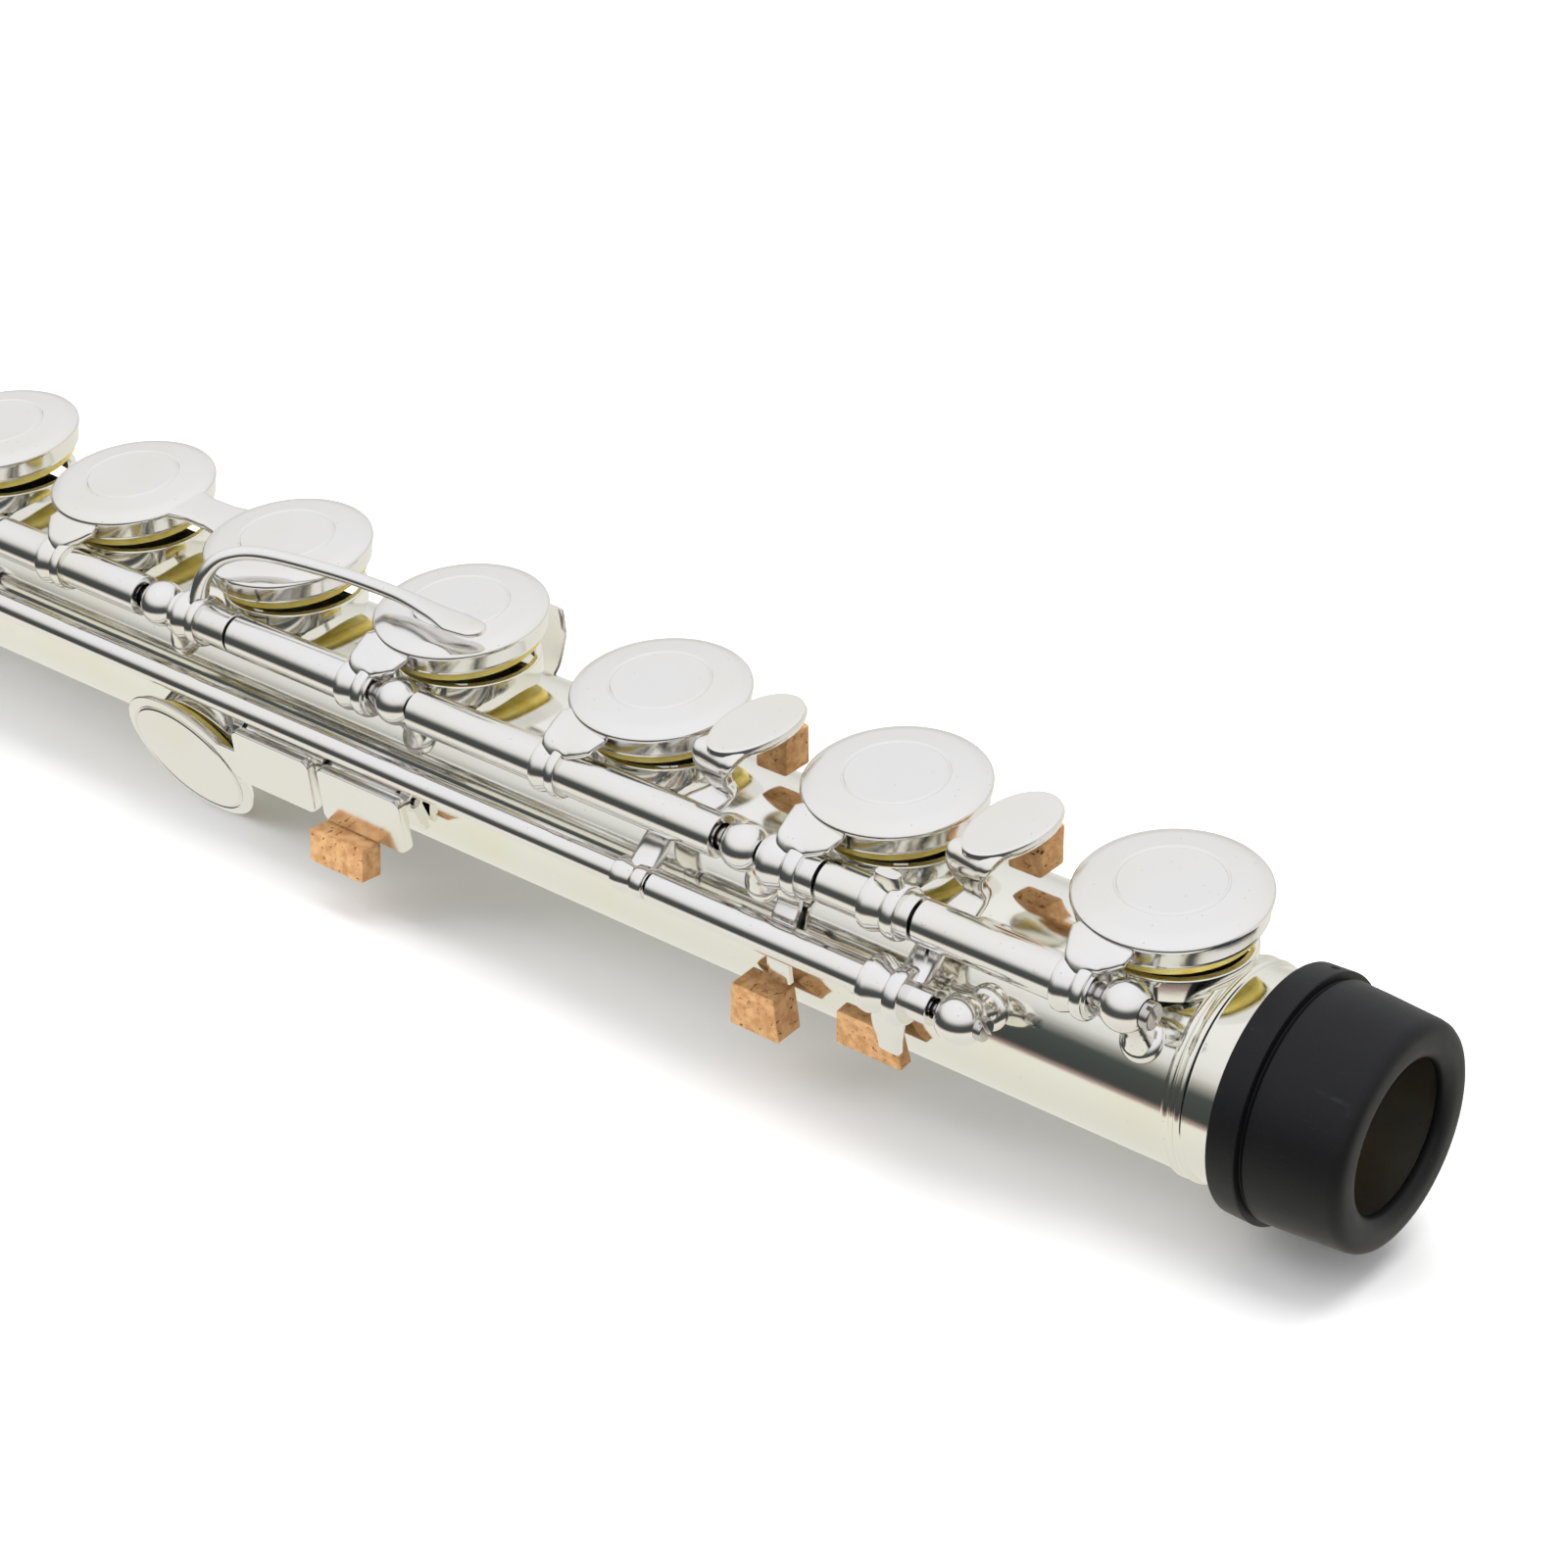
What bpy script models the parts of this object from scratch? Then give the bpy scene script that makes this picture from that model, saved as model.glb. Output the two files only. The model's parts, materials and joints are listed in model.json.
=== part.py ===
"""Concert flute: body joint with all its keys, head joint, and a protector cap on the foot tenon.

The tube lies along X with the foot end at +X and the keys facing +Z. The near side, which carries the
long hinge rods, faces -Y. Angles round the tube are measured from +Z towards -Y. Every key is modelled
closed on its tone hole and then turned about its own hinge to the position it rests in.
"""
import math

import bmesh
import bpy
from mathutils import Matrix, Vector

MM = 0.001
collection_name = "concert_flute"

# Fits: the gap left between pieces that touch on the real flute, and how far joined solids run together.
clearance = 0.3 * MM
weld = 0.4 * MM
facet_allowance = 0.05 * MM
merge_distance = 0.0005 * MM
sharp_angle = math.radians(35.0)

# Facets round the turned pieces.
tube_sides = 28
cup_sides = 18
rod_sides = 10
collar_sides = 12
wire_sides_level = 2
ball_segments = 8
ball_rings = 6

# Tube of the body joint; X is zero at the middle of the D tone hole.
tube_radius = 9.9 * MM
tube_wall = 0.45 * MM
body_end_x = 21.5 * MM
body_head_x = -281.0 * MM
ring_bead_x = 7.0 * MM
ring_bead_width = 0.8 * MM
ring_bead_spacing = 1.2 * MM
ring_bead_height = 0.35 * MM

# Tone holes with their drawn chimneys, and the padded cups that cover them.
chimney_radius = 7.4 * MM
chimney_wall = 0.65 * MM
chimney_rise = 1.1 * MM
small_chimney_radius = 4.3 * MM
low_chimney_rise = 0.9 * MM
low_chimney_radius = 6.0 * MM
pad_radius = 7.8 * MM
small_pad_radius = 4.3 * MM
low_pad_radius = 6.6 * MM
pad_thickness = 1.8 * MM
low_pad_thickness = 1.0 * MM
cup_wall = 0.65 * MM
low_cup_wall = 1.4 * MM
cup_skirt = 1.5 * MM
low_cup_skirt = 0.3 * MM
cup_shoulder = 0.1 * MM
cup_crown = 2.2 * MM
low_cup_crown = 0.9 * MM
cup_top_inset = 1.9 * MM
low_cup_top_inset = 0.3 * MM
cup_lip_inset = 0.15 * MM

# Cup stations along the tube.
d_x = 0.0
e_x = -29.5 * MM
f_x = -57.5 * MM
f_sharp_x = -83.5 * MM
lower_g_x = -108.0 * MM
upper_g_x = -131.5 * MM
b_flat_x = -153.5 * MM
a_x = -174.5 * MM
c_x = -212.5 * MM
c_sharp_x = -231.5 * MM
d_trill_x = -246.0 * MM
d_sharp_trill_x = -261.0 * MM
thumb_x = -113.0 * MM
g_sharp_x = -108.0 * MM

# Main hinge rod on the near side above the tube.
main_rod_aside = 1.92 * MM
main_rod_rise = 0.45 * MM
main_foot_angle = math.radians(64.0)
hinge_tube_radius = 2.1 * MM
hinge_collar_radius = 2.7 * MM
steel_radius = 1.0 * MM
key_open_angle = math.radians(6.0)

# Trill rod, further round the near side.
trill_rod_angle = math.radians(73.0)
trill_rod_reach = 4.1 * MM
trill_foot_angle = math.radians(86.0)
trill_tube_radius = 1.7 * MM
trill_thin_radius = 1.35 * MM
trill_collar_radius = 2.3 * MM
trill_steel_radius = 0.6 * MM
trill_cup_angle = math.radians(105.0)

# Low hinges of the thumb keys (near side) and of the G sharp key (far side).
low_rod_angle = math.radians(89.0)
low_rod_reach = 1.5 * MM
low_cup_angle = math.radians(117.0)
low_tube_radius = 1.1 * MM
low_steel_radius = 0.45 * MM
strap_angle = math.radians(104.0)
strap_width = 2.0 * MM
strap_thickness = 0.6 * MM
strap_arm_thickness = 1.2 * MM
strap_post_width = 1.3 * MM
thumb_open_angle = math.radians(-5.0)

# Posts that carry the rods.
ball_radius = 2.35 * MM
trill_ball_radius = 2.35 * MM
post_stem_radius = 1.2 * MM
post_foot_radius = 2.1 * MM
post_foot_height = 0.7 * MM
screw_stand_out = 0.5 * MM
screw_slot_width = 0.45 * MM
screw_slot_depth = 0.4 * MM

# Key arms and levers.
arm_thickness = 1.3 * MM
arm_lean = 0.9 * MM
arm_overlap = 2.0 * MM
arm_drop = 0.3 * MM
lever_thickness = 1.0 * MM
paddle_thickness = 1.2 * MM
wire_radius = 0.65 * MM

# Head joint, barrel and cap.
barrel_length = 35.0 * MM
barrel_wall = 0.8 * MM
socket_depth = 30.0 * MM
barrel_ring_height = 0.4 * MM
barrel_ring_width = 1.6 * MM
head_length = 231.5 * MM
head_crown_radius = 9.05 * MM
head_taper_start = 50.0 * MM
embouchure_x = -471.5 * MM
embouchure_length = 12.2 * MM
embouchure_width = 10.4 * MM
lip_plate_length = 44.0 * MM
lip_plate_width = 27.0 * MM
lip_plate_radius = 15.2 * MM
lip_plate_thickness = 1.0 * MM
lip_plate_drop = 1.0 * MM
riser_wall = 1.2 * MM
crown_length = 10.5 * MM
crown_radius = 9.7 * MM
crown_skirt = 1.6 * MM
stopper_distance = 17.0 * MM
stopper_plate = 1.0 * MM
stopper_rod_radius = 1.6 * MM
head_cork_length = 13.0 * MM
stopper_travel = 1.0 * MM
cap_start_x = 11.35 * MM
cap_length = 12.3 * MM
cap_wall = 0.7 * MM
cap_flange_length = 2.9 * MM
cap_flange_height = 0.85 * MM
cap_end_wall = 1.4 * MM
cap_hole_radius = 7.1 * MM
cap_rim_round = 1.2 * MM

finishes = {
    "silver_plate": ((0.80, 0.79, 0.75, 1.0), 0.18, 1.0),
    "polished_steel": ((0.62, 0.61, 0.60, 1.0), 0.25, 1.0),
    "pad_skin": ((0.72, 0.50, 0.12, 1.0), 0.45, 0.0),
    "cork": ((0.48, 0.22, 0.09, 1.0), 0.85, 0.0),
    "black_rubber": ((0.02, 0.02, 0.022, 1.0), 0.5, 0.0),
}


def ring_point(angle, radius):
    """Point (y, z) at an angle round the tube and a radius from its centre line."""
    return Vector((-math.sin(angle) * radius, math.cos(angle) * radius))


cup_outer = pad_radius + clearance + facet_allowance + cup_wall
main_rod = Vector((-(cup_outer + main_rod_aside), tube_radius + main_rod_rise))
trill_rod = ring_point(trill_rod_angle, tube_radius + trill_rod_reach)
thumb_rod = ring_point(low_rod_angle, tube_radius + low_rod_reach)
g_sharp_rod = ring_point(-low_rod_angle, tube_radius + low_rod_reach)

main_bore = steel_radius + clearance + facet_allowance
trill_bore = trill_steel_radius + clearance + facet_allowance
low_bore = low_steel_radius + clearance


# ---------------------------------------------------------------------------------------------------
# Solids
# ---------------------------------------------------------------------------------------------------

def new_object(name, data):
    """Object in the scene's own collection, where it stays until it is joined into a part."""
    made = bpy.data.objects.new(name, data)
    bpy.context.scene.collection.objects.link(made)
    return made


def object_from_bmesh(name, shape):
    """Object that takes over a bmesh, with its faces turned out."""
    bmesh.ops.recalc_face_normals(shape, faces=shape.faces)
    mesh = bpy.data.meshes.new(name)
    shape.to_mesh(mesh)
    shape.free()
    return new_object(name, mesh)


def settle(made):
    """Replace an object's data by its evaluated mesh, welded and closed, with no modifiers left."""
    depsgraph = bpy.context.evaluated_depsgraph_get()
    mesh = bpy.data.meshes.new_from_object(made.evaluated_get(depsgraph))
    shape = bmesh.new()
    shape.from_mesh(mesh)
    bmesh.ops.remove_doubles(shape, verts=shape.verts, dist=merge_distance)
    bmesh.ops.recalc_face_normals(shape, faces=shape.faces)
    shape.to_mesh(mesh)
    shape.free()
    settled = new_object(made.name, mesh)
    settled.matrix_world = made.matrix_world
    bpy.data.objects.remove(made)
    return settled


def turned(profile, sides, matrix=Matrix()):
    """Turn (radius, height) points, listed down the outer side, about the Z axis of a matrix."""
    points = [(radius, 0.0, height) for radius, height in profile]
    edges = [(index, index + 1) for index in range(len(points) - 1)]
    if profile[0][0] > 0.0:
        edges.append((len(points) - 1, 0))
    mesh = bpy.data.meshes.new("turned")
    mesh.from_pydata(points, edges, [])
    made = new_object("turned", mesh)
    screw = made.modifiers.new("turn", "SCREW")
    screw.steps = sides
    screw.render_steps = sides
    screw.use_merge_vertices = True
    screw.merge_threshold = merge_distance
    made = settle(made)
    made.data.transform(matrix)
    return made


def turned_along_x(profile, sides):
    """Turn (x, radius) points, listed from high x to low x along the outer side, about the tube."""
    along_x = Matrix.Rotation(math.pi / 2.0, 4, "Y")
    return turned([(radius, x) for x, radius in profile], sides, along_x)


def rod(start_x, end_x, centre, radius, sides=rod_sides):
    """Round bar along X between two stations, round a (y, z) centre."""
    shape = bmesh.new()
    bmesh.ops.create_cone(shape, cap_ends=True, segments=sides, radius1=radius, radius2=radius,
                          depth=abs(end_x - start_x))
    made = object_from_bmesh("rod", shape)
    middle = Vector(((start_x + end_x) / 2.0, centre[0], centre[1]))
    made.data.transform(Matrix.Translation(middle) @ Matrix.Rotation(math.pi / 2.0, 4, "Y"))
    return made


def strut(start, end, start_radius, end_radius, sides=rod_sides):
    """Round, tapered bar between two points in space."""
    run = Vector(end) - Vector(start)
    shape = bmesh.new()
    bmesh.ops.create_cone(shape, cap_ends=True, segments=sides, radius1=start_radius,
                          radius2=end_radius, depth=run.length)
    made = object_from_bmesh("strut", shape)
    middle = (Vector(start) + Vector(end)) / 2.0
    turn = run.to_track_quat("Z", "Y").to_matrix().to_4x4()
    made.data.transform(Matrix.Translation(middle) @ turn)
    return made


def ball(centre, radius):
    """Ball at a point in space."""
    shape = bmesh.new()
    bmesh.ops.create_uvsphere(shape, u_segments=ball_segments, v_segments=ball_rings, radius=radius)
    made = object_from_bmesh("ball", shape)
    made.data.transform(Matrix.Translation(Vector(centre)))
    return made


def block(low, high, matrix=Matrix()):
    """Box between two opposite corners, in the space of a matrix."""
    shape = bmesh.new()
    bmesh.ops.create_cube(shape, size=1.0)
    made = object_from_bmesh("block", shape)
    size = Vector(high) - Vector(low)
    middle = (Vector(high) + Vector(low)) / 2.0
    made.data.transform(matrix @ Matrix.Translation(middle) @ Matrix.Diagonal((*size, 1.0)))
    return made


def plate(outline, thickness, matrix=Matrix()):
    """Flat plate: an outline in the XY plane of a matrix, extruded evenly to both sides of it."""
    curve = bpy.data.curves.new("plate", "CURVE")
    curve.dimensions = "2D"
    curve.fill_mode = "BOTH"
    curve.extrude = thickness / 2.0
    spline = curve.splines.new("POLY")
    spline.points.add(len(outline) - 1)
    for point, (across, along) in zip(spline.points, outline):
        point.co = (across, along, 0.0, 1.0)
    spline.use_cyclic_u = True
    made = settle(new_object("plate", curve))
    made.data.transform(matrix)
    return made


def ellipse(half_length, half_width, centre=(0.0, 0.0), points=16):
    """Outline of an ellipse."""
    steps = [2.0 * math.pi * index / points for index in range(points)]
    return [(centre[0] + half_length * math.cos(turn), centre[1] + half_width * math.sin(turn))
            for turn in steps]


def bent_strip(route, low_x, high_x, thickness):
    """Strip of even thickness that follows (y, z) points and is as wide along X as asked."""
    points = [Vector(point) for point in route]
    left = []
    right = []
    for index, point in enumerate(points):
        before = points[max(index - 1, 0)]
        after = points[min(index + 1, len(points) - 1)]
        first = (point - before).normalized() if index else (after - point).normalized()
        last = (after - point).normalized() if index < len(points) - 1 else first
        along = (first + last).normalized()
        spread = thickness / 2.0 / max(along.dot(first), 0.5)
        across = Vector((-along.y, along.x)) * spread
        left.append(point + across)
        right.append(point - across)
    outline = [tuple(point) for point in left + right[::-1]]
    to_world = Matrix(((0.0, 0.0, 1.0, (low_x + high_x) / 2.0),
                       (1.0, 0.0, 0.0, 0.0),
                       (0.0, 1.0, 0.0, 0.0),
                       (0.0, 0.0, 0.0, 1.0)))
    return plate(outline, abs(high_x - low_x), to_world)


def wire(points, radius):
    """Round wire through points in space."""
    curve = bpy.data.curves.new("wire", "CURVE")
    curve.dimensions = "3D"
    curve.bevel_depth = radius
    curve.bevel_resolution = wire_sides_level
    curve.use_fill_caps = True
    spline = curve.splines.new("POLY")
    spline.points.add(len(points) - 1)
    for point, place in zip(spline.points, points):
        point.co = (*place, 1.0)
    return settle(new_object("wire", curve))


def combined(base, joined=(), cut=()):
    """Join solids to a base and then cut others from it, one at a time, and remove the tools."""
    tools = [("UNION", tool) for tool in joined] + [("DIFFERENCE", tool) for tool in cut]
    for operation, tool in tools:
        modifier = base.modifiers.new(operation.lower(), "BOOLEAN")
        modifier.operation = operation
        modifier.solver = "EXACT"
        modifier.object = tool
        base = settle(base)
        bpy.data.objects.remove(tool)
    return base


def round_tube(angle, x):
    """Matrix whose Z axis points straight out of the tube at a station and an angle round it."""
    return Matrix.Translation((x, 0.0, 0.0)) @ Matrix.Rotation(angle, 4, "X")


# ---------------------------------------------------------------------------------------------------
# Parts and the bodies they ride on
# ---------------------------------------------------------------------------------------------------

def finish_of(name, finish):
    """Material of one part."""
    colour, roughness, metallic = finishes[finish]
    material = bpy.data.materials.new(name + "_finish")
    material.use_nodes = True
    shader = material.node_tree.nodes["Principled BSDF"]
    shader.inputs["Base Color"].default_value = colour
    shader.inputs["Roughness"].default_value = roughness
    shader.inputs["Metallic"].default_value = metallic
    return material


class Flute:
    """The flute under construction: it names parts, finishes them and hangs them on their bodies."""

    def __init__(self):
        for old in list(bpy.data.objects):
            bpy.data.objects.remove(old)
        self.parts = bpy.data.collections.new(collection_name)
        bpy.context.scene.collection.children.link(self.parts)
        self.places = {}
        self.root = self.pivot("flute", (0.0, 0.0, 0.0))

    def pivot(self, name, place, parent=None, opening=0.0):
        """Empty on a joint's axis, turned by the angle that its parts rest at, away from closed."""
        empty = bpy.data.objects.new(name + "_pivot", None)
        bpy.context.scene.collection.objects.link(empty)
        holder = parent or getattr(self, "root", None)
        self.places[empty.name] = Vector(place)
        empty.parent = holder
        empty.location = Vector(place) - (self.places[holder.name] if holder else Vector())
        empty.rotation_euler.x = opening
        return empty

    def hinge(self, name, station, centre, opening=0.0):
        """Body that turns about an axis along X through a (y, z) centre."""
        return self.pivot(name, (station, centre[0], centre[1]), opening=opening)

    def add(self, name, made, finish, pivot=None):
        """Name a finished solid, give it its material and hang it on its body."""
        holder = pivot or self.root
        made.name = name
        made.data.name = name
        made.data.transform(Matrix.Translation(-self.places[holder.name]))
        made.data.materials.append(finish_of(name, finish))
        made.data.shade_smooth()
        made.data.set_sharp_from_angle(angle=sharp_angle)
        bpy.context.scene.collection.objects.unlink(made)
        self.parts.objects.link(made)
        made.parent = holder

    def stand_on_origin(self):
        """Move the whole flute so that the middle of its underside is at the origin."""
        bpy.context.view_layer.update()
        corners = [part.matrix_world @ vertex.co for part in self.parts.objects
                   for vertex in part.data.vertices]
        low = [min(corner[axis] for corner in corners) for axis in range(3)]
        high = [max(corner[axis] for corner in corners) for axis in range(3)]
        self.root.location = (-(low[0] + high[0]) / 2.0, -(low[1] + high[1]) / 2.0, -low[2])
        bpy.context.view_layer.update()


# ---------------------------------------------------------------------------------------------------
# Tone holes, cups and pads
# ---------------------------------------------------------------------------------------------------

class Cup:
    """A tone hole with its chimney, and the cup and pad that close it."""

    def __init__(self, x, angle=0.0, chimney=chimney_radius, rise=chimney_rise, pad=pad_radius,
                 thickness=pad_thickness, wall=cup_wall, skirt=cup_skirt, crown=cup_crown,
                 top_inset=cup_top_inset):
        self.x = x
        self.angle = angle
        self.chimney_outer = chimney
        self.chimney_top = tube_radius + rise
        self.pad_radius = pad
        self.pad_bottom = self.chimney_top + clearance
        self.pad_top = self.pad_bottom + thickness
        self.roof = self.pad_top + clearance
        self.rim = self.roof - skirt
        self.top = self.roof + crown
        self.inner = pad + clearance + facet_allowance
        self.outer = self.inner + wall
        self.top_radius = self.outer - top_inset
        self.frame = round_tube(angle, x)

    def chimney(self):
        """Chimney wall, as a plug that runs down into the tube."""
        root = tube_radius - tube_wall - weld
        profile = [(0.0, self.chimney_top), (self.chimney_outer, self.chimney_top),
                   (self.chimney_outer, root), (0.0, root)]
        return turned(profile, cup_sides, self.frame)

    def hole(self):
        """Cutter that opens the tone hole."""
        inner = self.chimney_outer - chimney_wall
        top = self.chimney_top + clearance
        root = tube_radius / 2.0
        profile = [(0.0, top), (inner, top), (inner, root), (0.0, root)]
        return turned(profile, cup_sides, self.frame)

    def cup(self):
        """Cup as a solid, before its cavity is cut."""
        widest = self.roof + cup_shoulder
        profile = [(0.0, self.top), (self.top_radius, self.top), (self.outer, widest),
                   (self.outer - cup_lip_inset, self.rim), (0.0, self.rim)]
        return turned(profile, cup_sides, self.frame)

    def cavity(self):
        """Cutter that clears the room for the pad, once an arm is joined to the cup."""
        low = self.rim - clearance
        profile = [(0.0, self.roof), (self.inner, self.roof), (self.inner, low), (0.0, low)]
        return turned(profile, cup_sides, self.frame)

    def pad(self):
        """Pad that lies in the cup."""
        profile = [(0.0, self.pad_top), (self.pad_radius, self.pad_top),
                   (self.pad_radius, self.pad_bottom), (0.0, self.pad_bottom)]
        return turned(profile, cup_sides, self.frame)


def low_cup(x, angle):
    """Flat cup on the underside of the tube."""
    return Cup(x, angle, low_chimney_radius, low_chimney_rise, low_pad_radius, low_pad_thickness,
               low_cup_wall, low_cup_skirt, low_cup_crown, low_cup_top_inset)


def small_cup(x, angle=0.0):
    """Small cup over a vent hole."""
    return Cup(x, angle, chimney=small_chimney_radius, pad=small_pad_radius)


cups = {
    "d": Cup(d_x),
    "e": Cup(e_x),
    "f": Cup(f_x),
    "f_sharp": Cup(f_sharp_x),
    "lower_g": Cup(lower_g_x),
    "upper_g": Cup(upper_g_x),
    "b_flat": Cup(b_flat_x),
    "a": Cup(a_x),
    "c": Cup(c_x),
    "c_sharp": small_cup(c_sharp_x),
    "d_trill": small_cup(d_trill_x, trill_cup_angle),
    "d_sharp_trill": small_cup(d_sharp_trill_x, trill_cup_angle),
    "thumb": low_cup(thumb_x, low_cup_angle),
    "g_sharp": low_cup(g_sharp_x, -low_cup_angle),
}


# ---------------------------------------------------------------------------------------------------
# Tube, barrel, head joint and cap
# ---------------------------------------------------------------------------------------------------

def build_body_tube(flute):
    """Body tube with its ring beads, chimneys and tone holes."""
    inner = tube_radius - tube_wall
    bead = tube_radius + ring_bead_height
    profile = [(body_end_x, 0.0), (body_end_x, tube_radius)]
    for middle in (ring_bead_x + ring_bead_spacing / 2.0, ring_bead_x - ring_bead_spacing / 2.0):
        half = ring_bead_width / 2.0
        profile += [(middle + half, tube_radius), (middle, bead), (middle - half, tube_radius)]
    profile += [(body_head_x, tube_radius), (body_head_x, 0.0)]
    tube = turned_along_x(profile, tube_sides)
    chimneys = [cup.chimney() for cup in cups.values()]
    holes = [cup.hole() for cup in cups.values()]
    bore = turned_along_x([(body_end_x + clearance, 0.0), (body_end_x + clearance, inner),
                           (body_head_x - clearance, inner), (body_head_x - clearance, 0.0)],
                          tube_sides)
    tube = combined(tube, chimneys, holes + [bore])
    flute.add("body_tube", tube, "silver_plate")


def barrel_inner():
    """Radius inside the barrel."""
    return tube_radius + clearance


def build_barrel(flute):
    """Socket sleeve that holds the head joint, with a ring at each end."""
    inner = barrel_inner()
    outer = inner + barrel_wall
    ring = outer + barrel_ring_height
    head_end = body_head_x - socket_depth
    foot_end = head_end + barrel_length
    profile = [(foot_end, inner), (foot_end, ring), (foot_end - barrel_ring_width, ring),
               (foot_end - barrel_ring_width, outer), (head_end + barrel_ring_width, outer),
               (head_end + barrel_ring_width, ring), (head_end, ring), (head_end, inner)]
    flute.add("barrel", turned_along_x(profile, tube_sides), "silver_plate")


def head_radius(x):
    """Outer radius of the tapered head tube at a station."""
    start = body_head_x - clearance - head_taper_start
    end = body_head_x - clearance - head_length
    share = min(max((x - start) / (end - start), 0.0), 1.0)
    return tube_radius + (head_crown_radius - tube_radius) * share


def embouchure_plug(low_z, high_z, grow=0.0):
    """Oval plug at the embouchure hole, between two heights."""
    outline = ellipse(embouchure_length / 2.0 + grow, embouchure_width / 2.0 + grow)
    middle = Matrix.Translation((embouchure_x, 0.0, (low_z + high_z) / 2.0))
    return plate(outline, high_z - low_z, middle)


def build_head_joint(flute):
    """Head tube, lip plate, crown and stopper."""
    start = body_head_x - clearance
    head = flute.pivot("head_joint", (start, 0.0, 0.0))
    end = start - head_length
    taper = start - head_taper_start
    profile = [(start, tube_radius - tube_wall), (start, tube_radius), (taper, tube_radius),
               (end, head_crown_radius), (end, head_crown_radius - tube_wall),
               (taper, tube_radius - tube_wall)]
    tube = turned_along_x(profile, tube_sides)
    tube = combined(tube, (), [embouchure_plug(tube_radius / 2.0, 2.0 * tube_radius)])
    flute.add("head_tube", tube, "silver_plate", head)
    build_lip_plate(flute, head)
    build_stopper(flute, head, end)


def build_lip_plate(flute, head):
    """Curved lip plate on its riser, with the embouchure hole through both."""
    half = lip_plate_length / 2.0
    start = embouchure_x + half
    end = embouchure_x - half
    shell = turned_along_x([(start, lip_plate_radius - lip_plate_thickness),
                            (start, lip_plate_radius), (end, lip_plate_radius),
                            (end, lip_plate_radius - lip_plate_thickness)], tube_sides)
    shell.data.transform(Matrix.Translation((0.0, 0.0, -lip_plate_drop)))
    keep = plate(ellipse(half, lip_plate_width / 2.0, points=24), lip_plate_radius,
                 Matrix.Translation((embouchure_x, 0.0, lip_plate_radius)))
    modifier = shell.modifiers.new("outline", "BOOLEAN")
    modifier.operation = "INTERSECT"
    modifier.solver = "EXACT"
    modifier.object = keep
    shell = settle(shell)
    bpy.data.objects.remove(keep)
    top = lip_plate_radius - lip_plate_drop - lip_plate_thickness / 2.0
    riser = embouchure_plug(tube_radius / 2.0, top, riser_wall)
    room = head_radius(end) + clearance
    room = max(room, head_radius(start) + clearance)
    tube_room = turned_along_x([(start, 0.0), (start, room), (end, room), (end, 0.0)], tube_sides)
    opening = embouchure_plug(0.0, 2.0 * lip_plate_radius)
    lip = combined(shell, [riser], [tube_room, opening])
    flute.add("lip_plate", lip, "silver_plate", head)


def build_stopper(flute, head, tube_end):
    """Threaded stopper rod with its plate, the head cork, and the crown that draws them along."""
    plate_radius = head_crown_radius - tube_wall - clearance - facet_allowance
    plate_face = embouchure_x - stopper_distance
    plate_back = plate_face - stopper_plate
    cork_start = plate_back - clearance
    cork_end = cork_start - head_cork_length
    rod_end = tube_end - crown_length / 2.0
    stopper = flute.pivot("stopper", (plate_face, 0.0, 0.0), head)
    profile = [(plate_face, 0.0), (plate_face, plate_radius), (plate_back, plate_radius),
               (plate_back, stopper_rod_radius), (rod_end, stopper_rod_radius), (rod_end, 0.0)]
    flute.add("stopper_rod", turned_along_x(profile, cup_sides), "polished_steel", stopper)
    hole = stopper_rod_radius + clearance + facet_allowance
    profile = [(cork_start, hole), (cork_start, plate_radius), (cork_end, plate_radius),
               (cork_end, hole)]
    flute.add("head_cork", turned_along_x(profile, cup_sides), "cork", stopper)
    front = tube_end - clearance
    back = tube_end - crown_length
    hub = 2.0 * stopper_rod_radius
    profile = [(front, 0.0), (front, crown_radius), (front - crown_skirt, crown_radius),
               (back + crown_skirt, crown_radius - crown_skirt), (back, hub), (back, 0.0)]
    crown = turned_along_x(profile, tube_sides)
    thread_end = rod_end - stopper_travel - clearance
    thread = rod(front + clearance, thread_end, (0.0, 0.0), hole, cup_sides)
    crown_pivot = flute.pivot("crown", (tube_end, 0.0, 0.0), head)
    flute.add("crown", combined(crown, (), [thread]), "silver_plate", crown_pivot)


def build_cap(flute):
    """Protector cap over the foot tenon, open through its end."""
    inner = tube_radius + clearance
    outer = inner + cap_wall
    flange = outer + cap_flange_height
    end = cap_start_x + cap_length
    profile = [(end, cap_hole_radius), (end, outer - cap_rim_round), (end - cap_rim_round, outer),
               (cap_start_x + cap_flange_length, outer), (cap_start_x + cap_flange_length, flange),
               (cap_start_x, flange), (cap_start_x, inner), (end - cap_end_wall, inner),
               (end - cap_end_wall, cap_hole_radius)]
    cap = flute.pivot("protector_cap", (cap_start_x, 0.0, 0.0))
    flute.add("protector_cap", turned_along_x(profile, tube_sides), "black_rubber", cap)


# ---------------------------------------------------------------------------------------------------
# Posts and steels
# ---------------------------------------------------------------------------------------------------

main_post_x = {1: 2.6 * MM, 2: -38.7 * MM, 3: -82.4 * MM, 4: -116.1 * MM, 5: -184.0 * MM,
               6: -240.5 * MM}
trill_post_x = {1: -12.5 * MM, 2: -150.0 * MM, 3: -267.5 * MM}


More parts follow.
